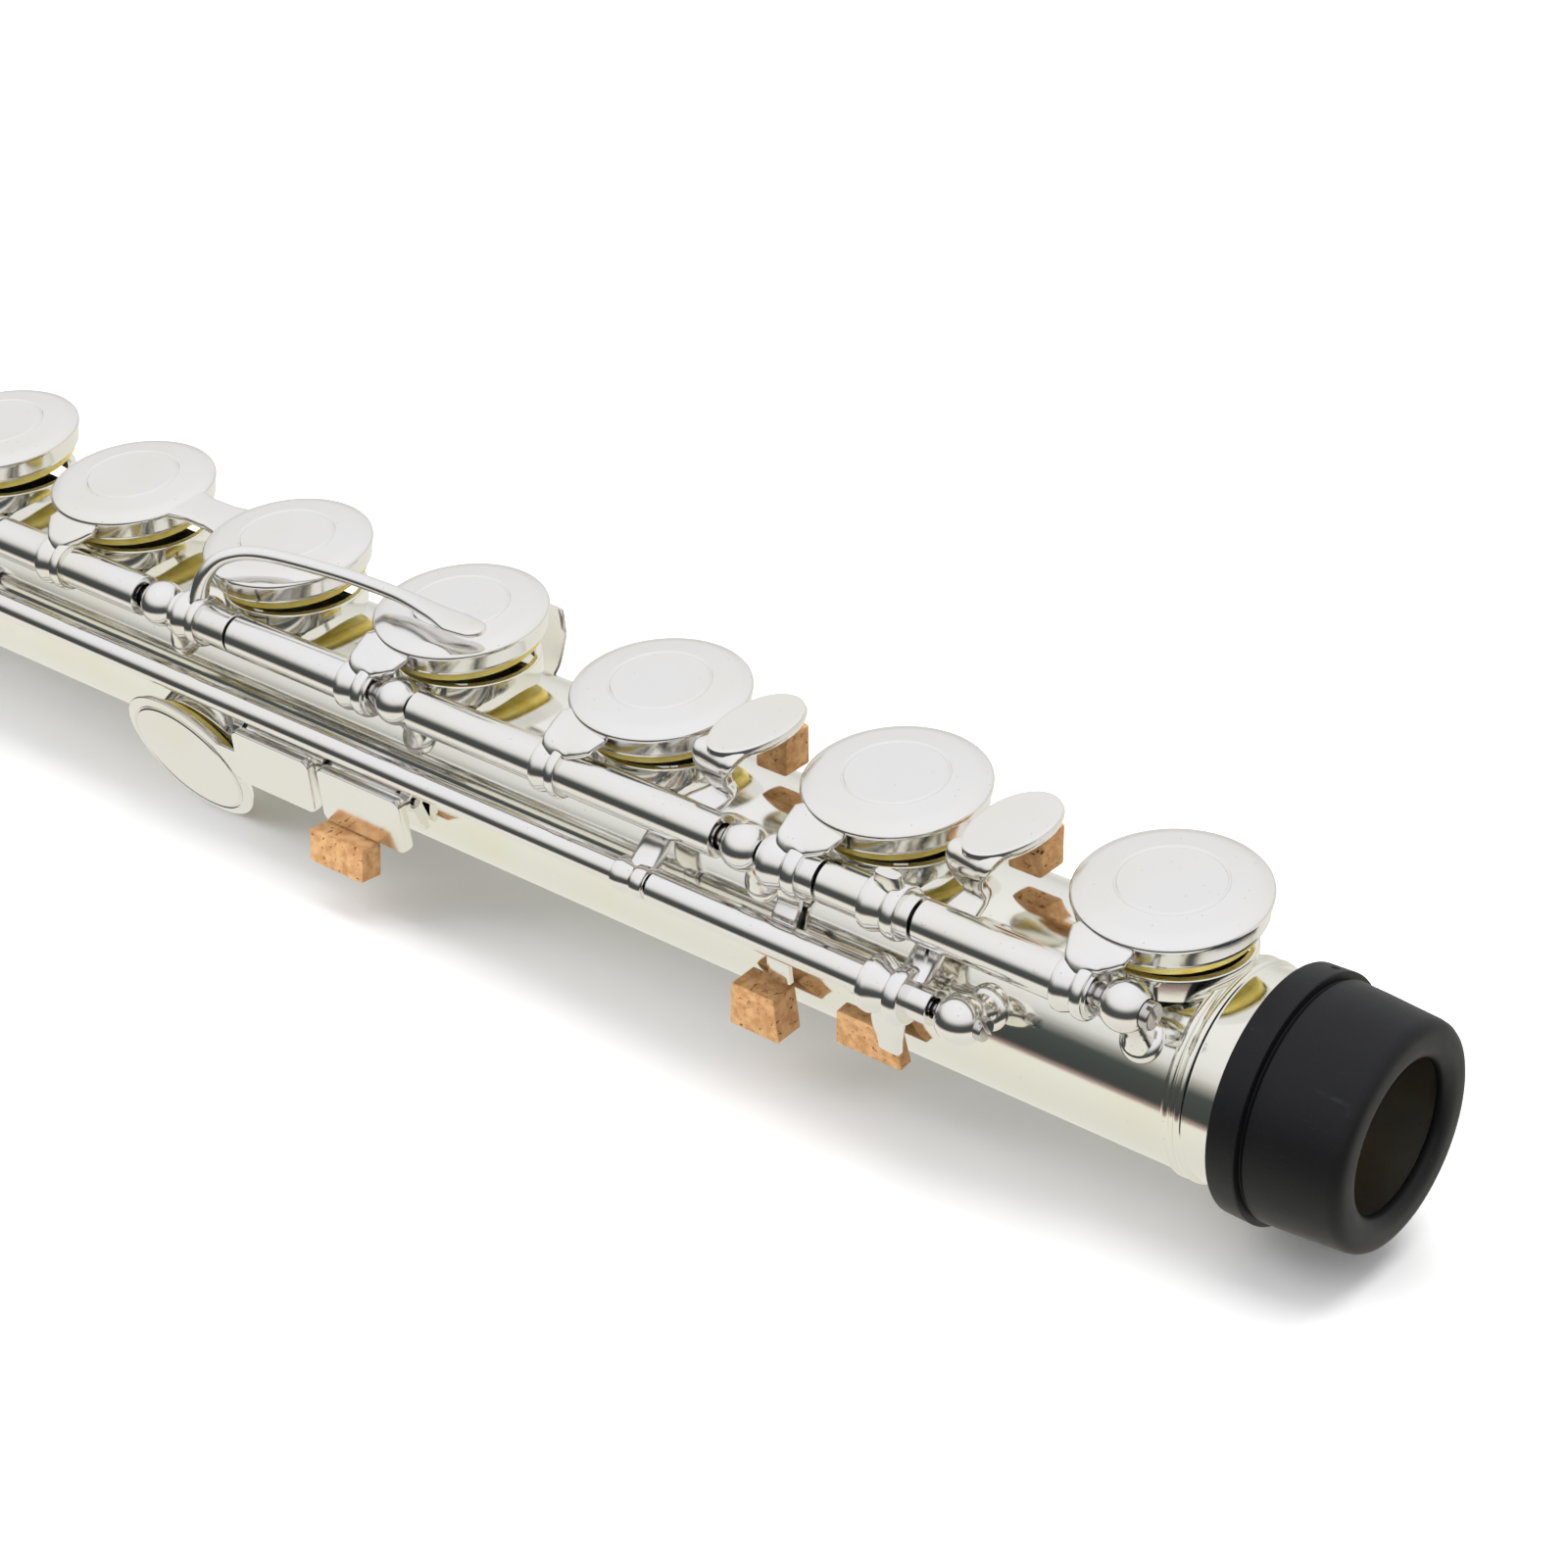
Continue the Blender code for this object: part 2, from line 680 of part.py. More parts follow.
def build_post(flute, name, x, centre, foot_angle, radius, bore):
    """Ball post: a ball round the rod, on a stem that stands on a foot shaped to the tube."""
    middle = (x, centre[0], centre[1])
    foot = ring_point(foot_angle, tube_radius)
    stem = strut(middle, (x, foot[0], foot[1]), post_stem_radius, post_stem_radius)
    frame = round_tube(foot_angle, x)
    foot_top = tube_radius + post_foot_height
    profile = [(0.0, foot_top), (post_foot_radius, foot_top - post_foot_height / 2.0),
               (post_foot_radius, tube_radius - 2.0 * post_foot_height),
               (0.0, tube_radius - 2.0 * post_foot_height)]
    base = turned(profile, rod_sides, frame)
    half = 2.0 * radius
    room = rod(x - half, x + half, (0.0, 0.0), tube_radius + clearance + facet_allowance, tube_sides)
    opening = rod(x - half, x + half, centre, bore, rod_sides)
    flute.add(name, combined(ball(middle, radius), [stem, base], [room, opening]), "silver_plate")


def build_steel(low_x, high_x, centre, radius, slotted=True):
    """Hinge steel, with a screwdriver slot across its foot end."""
    steel = rod(low_x, high_x, centre, radius)
    if not slotted:
        return steel
    half = screw_slot_width / 2.0
    slot = block((high_x - screw_slot_depth, centre[0] - half, centre[1] - 2.0 * radius),
                 (high_x + screw_slot_depth, centre[0] + half, centre[1] + 2.0 * radius))
    return combined(steel, (), [slot])


def build_posts(flute):
    """Posts of the main rod and the trill rod."""
    for index, x in main_post_x.items():
        build_post(flute, f"main_post_{index}", x, main_rod, main_foot_angle, ball_radius, main_bore)
    for index, x in trill_post_x.items():
        bore = trill_bore
        if index == 2:
            bore = trill_thin_radius + clearance + facet_allowance
        build_post(flute, f"trill_post_{index}", x, trill_rod, trill_foot_angle, trill_ball_radius,
                   bore)


# ---------------------------------------------------------------------------------------------------
# Keys on the main rod
# ---------------------------------------------------------------------------------------------------

def hinge_tube(low_x, high_x, collars=()):
    """Pieces of a main hinge tube: the tube itself and the collars round it."""
    pieces = [rod(low_x, high_x, main_rod, hinge_tube_radius, collar_sides)]
    for start, end in collars:
        pieces.append(rod(start, end, main_rod, hinge_collar_radius, collar_sides))
    return pieces


def main_arm(cup, low_x, high_x):
    """Arm from a hinge tube up and over to a closed cup."""
    start = main_rod + Vector((0.0, hinge_tube_radius - weld))
    knee = Vector((main_rod[0] + arm_lean, cup.roof))
    end = Vector((-cup.outer + arm_overlap, cup.roof + cup_crown / 2.0 - arm_drop))
    return bent_strip([start, knee, end], low_x, high_x, arm_thickness)


def main_key(flute, name, tube, arms, cup_names, extras=(), pivot=None, hollows=()):
    """Key on the main rod: hinge tube, collars, arms and cups in one piece, with its pads."""
    low_x, high_x = tube
    key_pivot = pivot or flute.hinge(name, (low_x + high_x) / 2.0, main_rod, key_open_angle)
    key_cups = [cups[cup_name] for cup_name in cup_names]
    pieces = hinge_tube(low_x, high_x, arms)
    base = pieces.pop(0)
    for (start, end), cup in zip(arms, key_cups):
        pieces.append(main_arm(cup, start, end))
    pieces += [cup.cup() for cup in key_cups]
    bore = rod(low_x - clearance, high_x + clearance, main_rod, main_bore)
    cavities = [cup.cavity() for cup in key_cups]
    made = combined(base, pieces + list(extras), [bore] + cavities + list(hollows))
    flute.add(f"{name}_key", made, "silver_plate", key_pivot)
    for cup_name, cup in zip(cup_names, key_cups):
        flute.add(f"{cup_name}_pad", cup.pad(), "pad_skin", key_pivot)
    return key_pivot


# Hinge tubes of the main rod (low x, high x) and the collars that carry their arms.
key_tubes = {
    "d": (-18.5 * MM, -0.2 * MM),
    "lug": (-29.1 * MM, -18.9 * MM),
    "e": (-36.0 * MM, -29.5 * MM),
    "f": (-79.6 * MM, -41.4 * MM),
    "f_sharp": (-104.8 * MM, -85.1 * MM),
    "side_lever": (-113.4 * MM, -105.2 * MM),
    "g": (-141.0 * MM, -118.8 * MM),
    "b_flat": (-163.4 * MM, -141.4 * MM),
    "a": (-181.2 * MM, -163.8 * MM),
    "c": (-237.8 * MM, -186.8 * MM),
}
key_collars = {
    "d": [(-3.6 * MM, -0.4 * MM)],
    "e": [(-35.4 * MM, -31.2 * MM)],
    "f": [(-63.0 * MM, -60.0 * MM)],
    "f_sharp": [(-88.8 * MM, -85.3 * MM)],
    "g": [(-133.2 * MM, -129.8 * MM)],
    "b_flat": [(-155.2 * MM, -151.8 * MM)],
    "a": [(-176.2 * MM, -172.8 * MM)],
    "c": [(-214.2 * MM, -210.8 * MM), (-232.7 * MM, -230.3 * MM)],
}
lug_collar = (-24.1 * MM, -20.2 * MM)
lug_reach = 1.1 * MM
e_tail = (-36.0 * MM, -33.4 * MM)
e_tail_thickness = 0.8 * MM
e_tail_turns = [math.radians(turn) for turn in (58.0, 72.0, 86.0, 99.0)]
e_tail_root = (0.5 * MM, 0.3 * MM)
e_cork_offset = -0.5 * MM
g_bridge_width = 5.0 * MM
wire_lever_collar = (-112.3 * MM, -109.2 * MM)

# Wire of the side lever: its height over the cup, how it arches up from its collar (along, across,
# below its height), how it runs to the F sharp cup (along, across) and the teardrop at its end.
wire_lift = 2.4 * MM
wire_arch = [(1.4 * MM, 0.2 * MM, 2.4 * MM), (3.4 * MM, 1.6 * MM, 0.4 * MM), (6.5 * MM, 3.6 * MM, 0.0)]
wire_run = [(-7.0 * MM, -4.6 * MM), (3.0 * MM, -5.6 * MM)]
wire_tip = (3.6 * MM, 1.9 * MM)
wire_tip_place = (f_sharp_x + 4.6 * MM, -5.8 * MM)

# Corks on the tails of the E key and the D sharp trill key: low x, high x, angle and size.
tail_cork_length = 9.0 * MM
tail_cork_height = 5.6 * MM
tail_cork_thickness = 2.0 * MM
tail_cork_gap = 0.6 * MM
tail_cork_angle = math.radians(119.0)
trill_cork_length = 7.0 * MM
trill_cork_height = 4.0 * MM
trill_cork_thickness = 1.5 * MM
trill_cork_angle = math.radians(110.0)


def closed_pose(point):
    """Where a (y, z) point of an open key lies once the key is closed."""
    turn = Matrix.Rotation(-key_open_angle, 2)
    return main_rod + turn @ (Vector(point) - main_rod)


def e_tail_strip():
    """Stop tail of the E key, closed, between the trill rod and the tube."""
    path = tube_radius + clearance + e_tail_thickness
    stops = [ring_point(turn, path) for turn in e_tail_turns]
    root = Vector((e_tail_root[0], e_tail_root[1] - hinge_tube_radius))
    route = [main_rod + root] + stops
    closed = [closed_pose(point) for point in route]
    return bent_strip(closed, e_tail[0], e_tail[1], e_tail_thickness)


def build_tail_cork(flute, name, pivot, middle_x, size, angle, gap, opened):
    """Cork block that lies beside the tube at an angle round it."""
    length, height, thickness = size
    low = tube_radius + gap
    frame = round_tube(angle, middle_x)
    cork = block((-length / 2.0, -height / 2.0, low), (length / 2.0, height / 2.0, low + thickness),
                 frame)
    if opened:
        place = Matrix.Translation((0.0, main_rod[0], main_rod[1]))
        cork.data.transform(place @ Matrix.Rotation(-key_open_angle, 4, "X") @ place.inverted())
    flute.add(name, cork, "cork", pivot)


def build_right_hand(flute):
    """Keys that turn on the right hand's steel, and the lug and steel that move with F sharp."""
    main_key(flute, "d", key_tubes["d"], key_collars["d"], ["d"])
    e_pivot = flute.hinge("e", e_tail[0], main_rod, key_open_angle)
    main_key(flute, "e", key_tubes["e"], key_collars["e"], ["e"], [e_tail_strip()], e_pivot)
    build_tail_cork(flute, "e_tail_cork", e_pivot, e_tail[0] + e_cork_offset,
                    (tail_cork_length, tail_cork_height, tail_cork_thickness), tail_cork_angle,
                    tail_cork_gap, True)
    main_key(flute, "f", key_tubes["f"], key_collars["f"], ["f"])
    f_sharp = main_key(flute, "f_sharp", key_tubes["f_sharp"], key_collars["f_sharp"], ["f_sharp"])
    lug = hinge_tube(key_tubes["lug"][0], key_tubes["lug"][1], [lug_collar])
    base = lug.pop(0)
    tab_top = hinge_collar_radius + lug_reach
    lug.append(bent_strip([main_rod, main_rod + Vector((0.0, tab_top))], lug_collar[0] + weld,
                          lug_collar[1] - weld, arm_thickness))
    bore = rod(key_tubes["lug"][0] - clearance, key_tubes["lug"][1] + clearance, main_rod, main_bore)
    flute.add("adjusting_lug", combined(base, lug, [bore]), "silver_plate", f_sharp)
    foot_end = main_post_x[1] + ball_radius + screw_stand_out
    steel = build_steel(main_post_x[4] + clearance / 2.0, foot_end, main_rod, steel_radius)
    flute.add("right_hand_steel", steel, "polished_steel", f_sharp)


def build_left_hand(flute):
    """Keys that turn on the left hand's steel, and that steel."""
    lower, upper = cups["lower_g"], cups["upper_g"]
    height = lower.roof + cup_crown / 2.0
    half = g_bridge_width / 2.0
    bridge = block((upper.x + upper.outer - weld * 2.0, -half, height - lever_thickness / 2.0),
                   (lower.x - lower.outer + weld * 2.0, half, height + lever_thickness / 2.0))
    g_pivot = main_key(flute, "g", key_tubes["g"], key_collars["g"], ["upper_g"],
                       [bridge, lower.cup()], hollows=[lower.cavity()])
    flute.add("lower_g_pad", lower.pad(), "pad_skin", g_pivot)
    main_key(flute, "b_flat", key_tubes["b_flat"], key_collars["b_flat"], ["b_flat"])
    main_key(flute, "a", key_tubes["a"], key_collars["a"], ["a"])
    main_key(flute, "c", key_tubes["c"], key_collars["c"], ["c", "c_sharp"])
    steel = build_steel(main_post_x[6] - ball_radius, main_post_x[4] - clearance / 2.0, main_rod,
                        steel_radius, slotted=False)
    flute.add("left_hand_steel", steel, "polished_steel")


def build_side_lever(flute):
    """B flat side lever: a long wire that ends in a teardrop over the F sharp cup."""
    low_x, high_x = key_tubes["side_lever"]
    pivot = flute.hinge("b_flat_side_lever", (low_x + high_x) / 2.0, main_rod)
    pieces = hinge_tube(low_x, high_x, [wire_lever_collar])
    base = pieces.pop(0)
    root_x = sum(wire_lever_collar) / 2.0
    height = cups["f_sharp"].top + wire_lift
    route = [(root_x, main_rod[0], main_rod[1] + steel_radius + clearance)]
    route += [(root_x + along, main_rod[0] + across, height - below)
              for along, across, below in wire_arch]
    route += [(f_sharp_x + along, across, height) for along, across in wire_run]
    tip = ellipse(wire_tip[0], wire_tip[1], wire_tip_place, 12)
    pieces.append(wire(route, wire_radius))
    pieces.append(plate(tip, lever_thickness, Matrix.Translation((0.0, 0.0, height))))
    bore = rod(low_x - clearance, high_x + clearance, main_rod, main_bore)
    flute.add("b_flat_side_lever", combined(base, pieces, [bore]), "silver_plate", pivot)


# ---------------------------------------------------------------------------------------------------
# Trill keys
# ---------------------------------------------------------------------------------------------------

d_sharp_touch_x = -15.2 * MM
d_touch_x = -44.0 * MM
d_sharp_trill_tube = (-47.3 * MM, -15.2 * MM)
d_sharp_trill_collar = (-22.1 * MM, -17.7 * MM)
d_trill_tube = (-250.2 * MM, -47.8 * MM)
d_trill_collar = (-51.6 * MM, -47.9 * MM)
d_sharp_cup_tube = (-264.8 * MM, -250.6 * MM)
paddle_length = 12.0 * MM
paddle_width = 7.0 * MM
paddle_height = 17.2 * MM
paddle_middle_y = -2.6 * MM
paddle_tilt = math.radians(8.0)
touch_arm_width = 3.0 * MM
touch_cork_size = 3.6 * MM

# Arms on the trill rod: where they leave it, how they turn and rise past the main rod, the web that
# joins the two strips of a touch arm, and the tail and cork of the D sharp trill key.
touch_arm_root = (0.9 * MM, 0.9 * MM)
touch_arm_turn = math.radians(25.0)
touch_arm_rise = 2.5 * MM
touch_arm_lean = 1.0 * MM
touch_web = (0.2, 0.9)
touch_web_share = 0.8
riser_share = 0.9
small_arm_root = (0.6 * MM, 0.9 * MM)
small_arm_turn = math.radians(88.0)
d_sharp_tail_rise = 1.7 * MM
d_sharp_tail_knee = 0.6 * MM
d_sharp_tail_beside = 1.8 * MM
d_sharp_tail_end = math.radians(108.0)
d_sharp_cork_x = -24.3 * MM
d_sharp_arm_offset = 2.3 * MM


def touch_arm(low_x, riser_low_x):
    """Arm from the trill rod, under the main rod, aside between two cups and up to a touch."""
    start = trill_rod + Vector(touch_arm_root)
    below = hinge_tube_radius + lever_thickness / 2.0 + 1.5 * clearance
    under = main_rod - main_rod.normalized() * below
    past = ring_point(touch_arm_turn, tube_radius + touch_arm_rise)
    top = Vector((past[0] + touch_arm_lean, paddle_height))
    middle = (under + past) / 2.0
    inset = weld / 2.0
    wide = (min(low_x, riser_low_x) + inset, max(low_x, riser_low_x) + touch_arm_width - inset)
    return [bent_strip([start, under, past], low_x, low_x + touch_arm_width, lever_thickness),
            bent_strip([under.lerp(middle, touch_web[0]), middle.lerp(past, touch_web[1])], *wide,
                       touch_web_share * lever_thickness),
            bent_strip([middle, past, top], riser_low_x, riser_low_x + touch_arm_width,
                       riser_share * lever_thickness)]


def touch_paddle(x):
    """Oval touch above the tube, tilted a little up towards the far side."""
    frame = (Matrix.Translation((x, paddle_middle_y, paddle_height))
             @ Matrix.Rotation(paddle_tilt, 4, "X"))
    return plate(ellipse(paddle_width / 2.0, paddle_length / 2.0), paddle_thickness, frame)


def touch_cork(flute, name, x, pivot):
    """Cork bumper that hangs under a touch, above the tube."""
    half = touch_cork_size / 2.0
    low = tube_radius + 6.0 * clearance
    high = paddle_height - paddle_thickness - clearance
    middle = paddle_middle_y + touch_cork_size
    cork = block((x - half, middle - half, low), (x + half, middle + half, high))
    flute.add(name, cork, "cork", pivot)


def small_cup_arm(cup, width):
    """Arm from the trill rod down to a small cup below it."""
    out = ring_point(trill_cup_angle, cup.top - cup_crown / 2.0)
    route = [trill_rod - Vector(small_arm_root), ring_point(small_arm_turn, cup.top), out]
    return bent_strip(route, cup.x - width / 2.0, cup.x + width / 2.0, lever_thickness)


def build_trill_keys(flute):
    """Two trill keys: touches between the right hand's cups, and small cups at the head end."""
    d_cup, d_sharp_cup = cups["d_trill"], cups["d_sharp_trill"]
    d_sharp = flute.hinge("d_sharp_trill", d_sharp_touch_x, trill_rod)
    low_x, high_x = d_sharp_trill_tube
    base = rod(low_x, high_x, trill_rod, trill_tube_radius, collar_sides)
    collar = rod(*d_sharp_trill_collar, trill_rod, trill_collar_radius, collar_sides)
    arm = touch_arm(d_sharp_trill_collar[0] + d_sharp_arm_offset, d_sharp_touch_x - touch_arm_width)
    tail_path = tube_radius + trill_cork_thickness + d_sharp_tail_rise
    tail_route = [trill_rod - Vector((0.0, trill_steel_radius + clearance)),
                  ring_point(small_arm_turn, tail_path + d_sharp_tail_knee),
                  ring_point(d_sharp_tail_end, tail_path)]
    tail = bent_strip(tail_route, d_sharp_trill_collar[0] - d_sharp_tail_beside,
                      d_sharp_trill_collar[1] - weld, lever_thickness)
    bore = rod(low_x - clearance, high_x + clearance, trill_rod, trill_bore)
    made = combined(base, [collar, touch_paddle(d_sharp_touch_x), tail] + arm, [bore])
    flute.add("d_sharp_trill_touch", made, "silver_plate", d_sharp)
    touch_cork(flute, "d_sharp_touch_cork", d_sharp_touch_x, d_sharp)
    build_tail_cork(flute, "d_sharp_tail_cork", d_sharp, d_sharp_cork_x,
                    (trill_cork_length, trill_cork_height, trill_cork_thickness), trill_cork_angle,
                    tail_cork_gap, False)
    low_x, high_x = d_sharp_cup_tube
    base = rod(low_x, high_x, trill_rod, trill_thin_radius, collar_sides)
    bore = rod(low_x - clearance, high_x + clearance, trill_rod, trill_bore)
    made = combined(base, [small_cup_arm(d_sharp_cup, touch_arm_width), d_sharp_cup.cup()],
                    [bore, d_sharp_cup.cavity()])
    flute.add("d_sharp_trill_cup", made, "silver_plate", d_sharp)
    flute.add("d_sharp_trill_pad", d_sharp_cup.pad(), "pad_skin", d_sharp)
    foot_end = trill_post_x[1] + trill_ball_radius + screw_stand_out
    steel = build_steel(trill_post_x[3] - trill_ball_radius, foot_end, trill_rod, trill_steel_radius)
    flute.add("trill_steel", steel, "polished_steel", d_sharp)

    d_trill = flute.hinge("d_trill", d_touch_x, trill_rod)
    low_x, high_x = d_trill_tube
    base = rod(low_x, high_x, trill_rod, trill_thin_radius, collar_sides)
    collar = rod(*d_trill_collar, trill_rod, trill_tube_radius, collar_sides)
    arm = touch_arm(d_trill_collar[1] - touch_arm_width, d_touch_x - touch_arm_width)
    bore = rod(low_x - clearance, high_x + clearance, trill_rod, trill_bore)
    made = combined(base, [collar, touch_paddle(d_touch_x), small_cup_arm(d_cup, touch_arm_width),
                           d_cup.cup()] + arm, [bore, d_cup.cavity()])
    flute.add("d_trill_key", made, "silver_plate", d_trill)
    flute.add("d_trill_pad", d_cup.pad(), "pad_skin", d_trill)
    touch_cork(flute, "d_touch_cork", d_touch_x, d_trill)


# ---------------------------------------------------------------------------------------------------
# Keys low on the sides of the tube
# ---------------------------------------------------------------------------------------------------

thumb_b_tube = (-103.5 * MM, -92.4 * MM)
thumb_b_flat_tube = (-91.2 * MM, -82.3 * MM)
thumb_posts_x = (-104.7 * MM, -81.1 * MM)
g_sharp_tube = (-97.4 * MM, -84.0 * MM)
g_sharp_posts_x = (-98.6 * MM, -82.8 * MM)
thumb_plate_top = 1.5 * MM
thumb_plate_bottom = -4.7 * MM
thumb_plate_thickness = 1.2 * MM
thumb_plate_reach = 2.6 * MM
thumb_tab_height = 1.4 * MM
thumb_cork_length = 7.4 * MM
thumb_cork_height = 3.6 * MM
thumb_cork_thickness = 2.6 * MM
low_bridge_width = 5.0 * MM
low_bridge_reach = 3.0 * MM
g_sharp_plate_length = 4.0 * MM
g_sharp_touch_height = 12.5 * MM
g_sharp_touch_length = 9.0 * MM


def build_post_strap(flute, name, posts_x, centre, side):
    """Strap along the tube with a post at each end, drilled for a low hinge's steel."""
    low_x, high_x = min(posts_x), max(posts_x)
    half = strap_post_width / 2.0
    low = tube_radius + clearance + facet_allowance
    frame = round_tube(side * strap_angle, 0.0)
    strap = block((low_x - half, -strap_width / 2.0, low),
                  (high_x + half, strap_width / 2.0, low + strap_thickness), frame)
    root = ring_point(side * strap_angle, low + strap_thickness / 2.0)
    pieces = []
    cuts = []
    for x in posts_x:
        pieces.append(rod(x - half, x + half, centre, low_tube_radius, collar_sides))
        pieces.append(bent_strip([root, centre], x - half, x + half, strap_arm_thickness))
        cuts.append(rod(x - 2.0 * half, x + 2.0 * half, centre, low_bore))
    flute.add(name, combined(strap, pieces, cuts), "silver_plate")
    steel = build_steel(low_x - half - clearance, high_x + half + clearance, centre,
                        low_steel_radius, slotted=False)
    flute.add(name.replace("posts", "steel"), steel, "polished_steel")


def low_bridge(cup, towards_x, up):
    """Bar from a low cup towards the hinge's plate."""
    middle = (cup.roof + cup.top) / 2.0
    reach = up * low_bridge_width
    return block((min(0.0, towards_x - cup.x), min(0.0, reach), middle - low_cup_crown / 3.0),
                 (max(0.0, towards_x - cup.x), max(0.0, reach), middle + low_cup_crown / 3.0),
                 cup.frame)


def plate_tab(low_x, high_x, centre, side):
    """Tab that joins a low hinge tube to the plate outside it."""
    near = centre[0] - side * low_bore
    far = centre[0] - side * (thumb_plate_reach - thumb_plate_thickness / 2.0)
    half = thumb_tab_height / 2.0
    return block((low_x, min(near, far), centre[1] - half), (high_x, max(near, far), centre[1] + half))


def build_thumb_keys(flute):
    """Thumb B key with its cup and plate, and the thumb B flat lever beside it."""
    cup = cups["thumb"]
    build_post_strap(flute, "thumb_posts", thumb_posts_x, thumb_rod, 1.0)
    outer = thumb_rod[0] - thumb_plate_reach
    inner = outer + thumb_plate_thickness
    thumb_b = flute.hinge("thumb_b", thumb_x, thumb_rod, thumb_open_angle)
    low_x, high_x = thumb_b_tube
    base = rod(low_x, high_x, thumb_rod, low_tube_radius, collar_sides)
    touch = block((low_x, outer, thumb_plate_bottom), (high_x, inner, thumb_plate_top))
    bridge = low_bridge(cup, low_x + low_bridge_reach, 1.0)
    tab = plate_tab(low_x + weld, high_x - weld, thumb_rod, 1.0)
    bore = rod(low_x - clearance, high_x + clearance, thumb_rod, low_bore)
    made = combined(base, [tab, touch, bridge, cup.cup()], [bore, cup.cavity()])
    flute.add("thumb_b_key", made, "silver_plate", thumb_b)
    flute.add("thumb_b_pad", cup.pad(), "pad_skin", thumb_b)

    lever = flute.hinge("thumb_b_flat", sum(thumb_b_flat_tube) / 2.0, thumb_rod, thumb_open_angle)
    low_x, high_x = thumb_b_flat_tube
    base = rod(low_x, high_x, thumb_rod, low_tube_radius, collar_sides)
    touch = block((low_x, outer, thumb_plate_bottom), (high_x + 2.0 * strap_post_width, inner,
                                                       thumb_plate_top))
    tab = plate_tab(low_x + weld, high_x - weld, thumb_rod, 1.0)
    bore = rod(low_x - clearance, high_x + clearance, thumb_rod, low_bore)
    flute.add("thumb_b_flat_lever", combined(base, [tab, touch], [bore]), "silver_plate", lever)
    top = thumb_plate_bottom - clearance
    cork = block((low_x, inner - thumb_cork_thickness, top - thumb_cork_height),
                 (low_x + thumb_cork_length, inner, top))
    flute.add("thumb_b_flat_cork", cork, "cork", lever)


def build_g_sharp_key(flute):
    """G sharp key on the far side: touch above its hinge, closed cup below it."""
    cup = cups["g_sharp"]
    build_post_strap(flute, "g_sharp_posts", g_sharp_posts_x, g_sharp_rod, -1.0)
    pivot = flute.hinge("g_sharp", sum(g_sharp_tube) / 2.0, g_sharp_rod)
    low_x, high_x = g_sharp_tube
    base = rod(low_x, high_x, g_sharp_rod, low_tube_radius, collar_sides)
    outer = g_sharp_rod[0] + thumb_plate_reach
    side = block((low_x, outer - thumb_plate_thickness, thumb_plate_bottom),
                 (low_x + g_sharp_plate_length, outer, thumb_plate_top))
    route = [g_sharp_rod + Vector((low_bore, low_bore)), Vector((outer, g_sharp_touch_height / 3.0)),
             Vector((outer + thumb_plate_thickness, g_sharp_touch_height))]
    touch = bent_strip(route, high_x - g_sharp_touch_length, high_x, lever_thickness)
    bridge = low_bridge(cup, low_x + low_bridge_reach, -1.0)
    tab = plate_tab(low_x + weld, low_x + g_sharp_plate_length - weld, g_sharp_rod, -1.0)
    bore = rod(low_x - clearance, high_x + clearance, g_sharp_rod, low_bore)
    made = combined(base, [tab, side, touch, bridge, cup.cup()], [bore, cup.cavity()])
    flute.add("g_sharp_key", made, "silver_plate", pivot)
    flute.add("g_sharp_pad", cup.pad(), "pad_skin", pivot)


def main():
    """Build the flute part by part and stand it on the origin."""
    flute = Flute()
    build_body_tube(flute)
    build_barrel(flute)
    build_head_joint(flute)
    build_cap(flute)
    build_posts(flute)
    build_right_hand(flute)
    build_left_hand(flute)
    build_side_lever(flute)
    build_trill_keys(flute)
    build_thumb_keys(flute)
    build_g_sharp_key(flute)
    flute.stand_on_origin()


main()
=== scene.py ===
"""Concert flute in its finishes: silver plate, polished steel, pad skin, cork and moulded rubber.

Every piece is modelled in the flute's own space: metres, X along the tube towards the foot tenon, Z up,
and the origin on the centre line of the tube under the D tone hole. It is then moved to where the frame
holds the flute.
"""

import json
import logging
import math
from dataclasses import dataclass, field
from enum import Enum
from typing import Sequence, Union

import bmesh
import bpy
from mathutils import Matrix, Vector


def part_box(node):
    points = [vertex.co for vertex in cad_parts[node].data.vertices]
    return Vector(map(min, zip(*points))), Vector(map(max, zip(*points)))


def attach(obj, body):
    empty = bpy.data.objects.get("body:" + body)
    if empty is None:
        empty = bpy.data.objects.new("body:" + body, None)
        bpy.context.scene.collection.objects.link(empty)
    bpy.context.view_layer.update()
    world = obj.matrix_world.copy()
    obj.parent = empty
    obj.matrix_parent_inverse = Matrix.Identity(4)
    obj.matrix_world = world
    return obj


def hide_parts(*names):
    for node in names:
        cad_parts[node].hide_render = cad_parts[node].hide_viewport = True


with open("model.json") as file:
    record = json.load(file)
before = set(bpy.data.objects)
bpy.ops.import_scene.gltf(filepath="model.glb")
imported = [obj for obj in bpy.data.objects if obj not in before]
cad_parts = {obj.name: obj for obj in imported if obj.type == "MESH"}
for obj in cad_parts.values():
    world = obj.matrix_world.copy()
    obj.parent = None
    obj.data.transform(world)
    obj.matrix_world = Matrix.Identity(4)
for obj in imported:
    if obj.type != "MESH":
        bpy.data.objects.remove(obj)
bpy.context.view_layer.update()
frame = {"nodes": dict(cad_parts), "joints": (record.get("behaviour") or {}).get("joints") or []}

MM = 0.001
log = logging.getLogger("flute")

Profile = Sequence[tuple]
Point = Sequence[float]


# ---------------------------------------------------------------------------------------------------
# Where the frame holds the flute
# ---------------------------------------------------------------------------------------------------

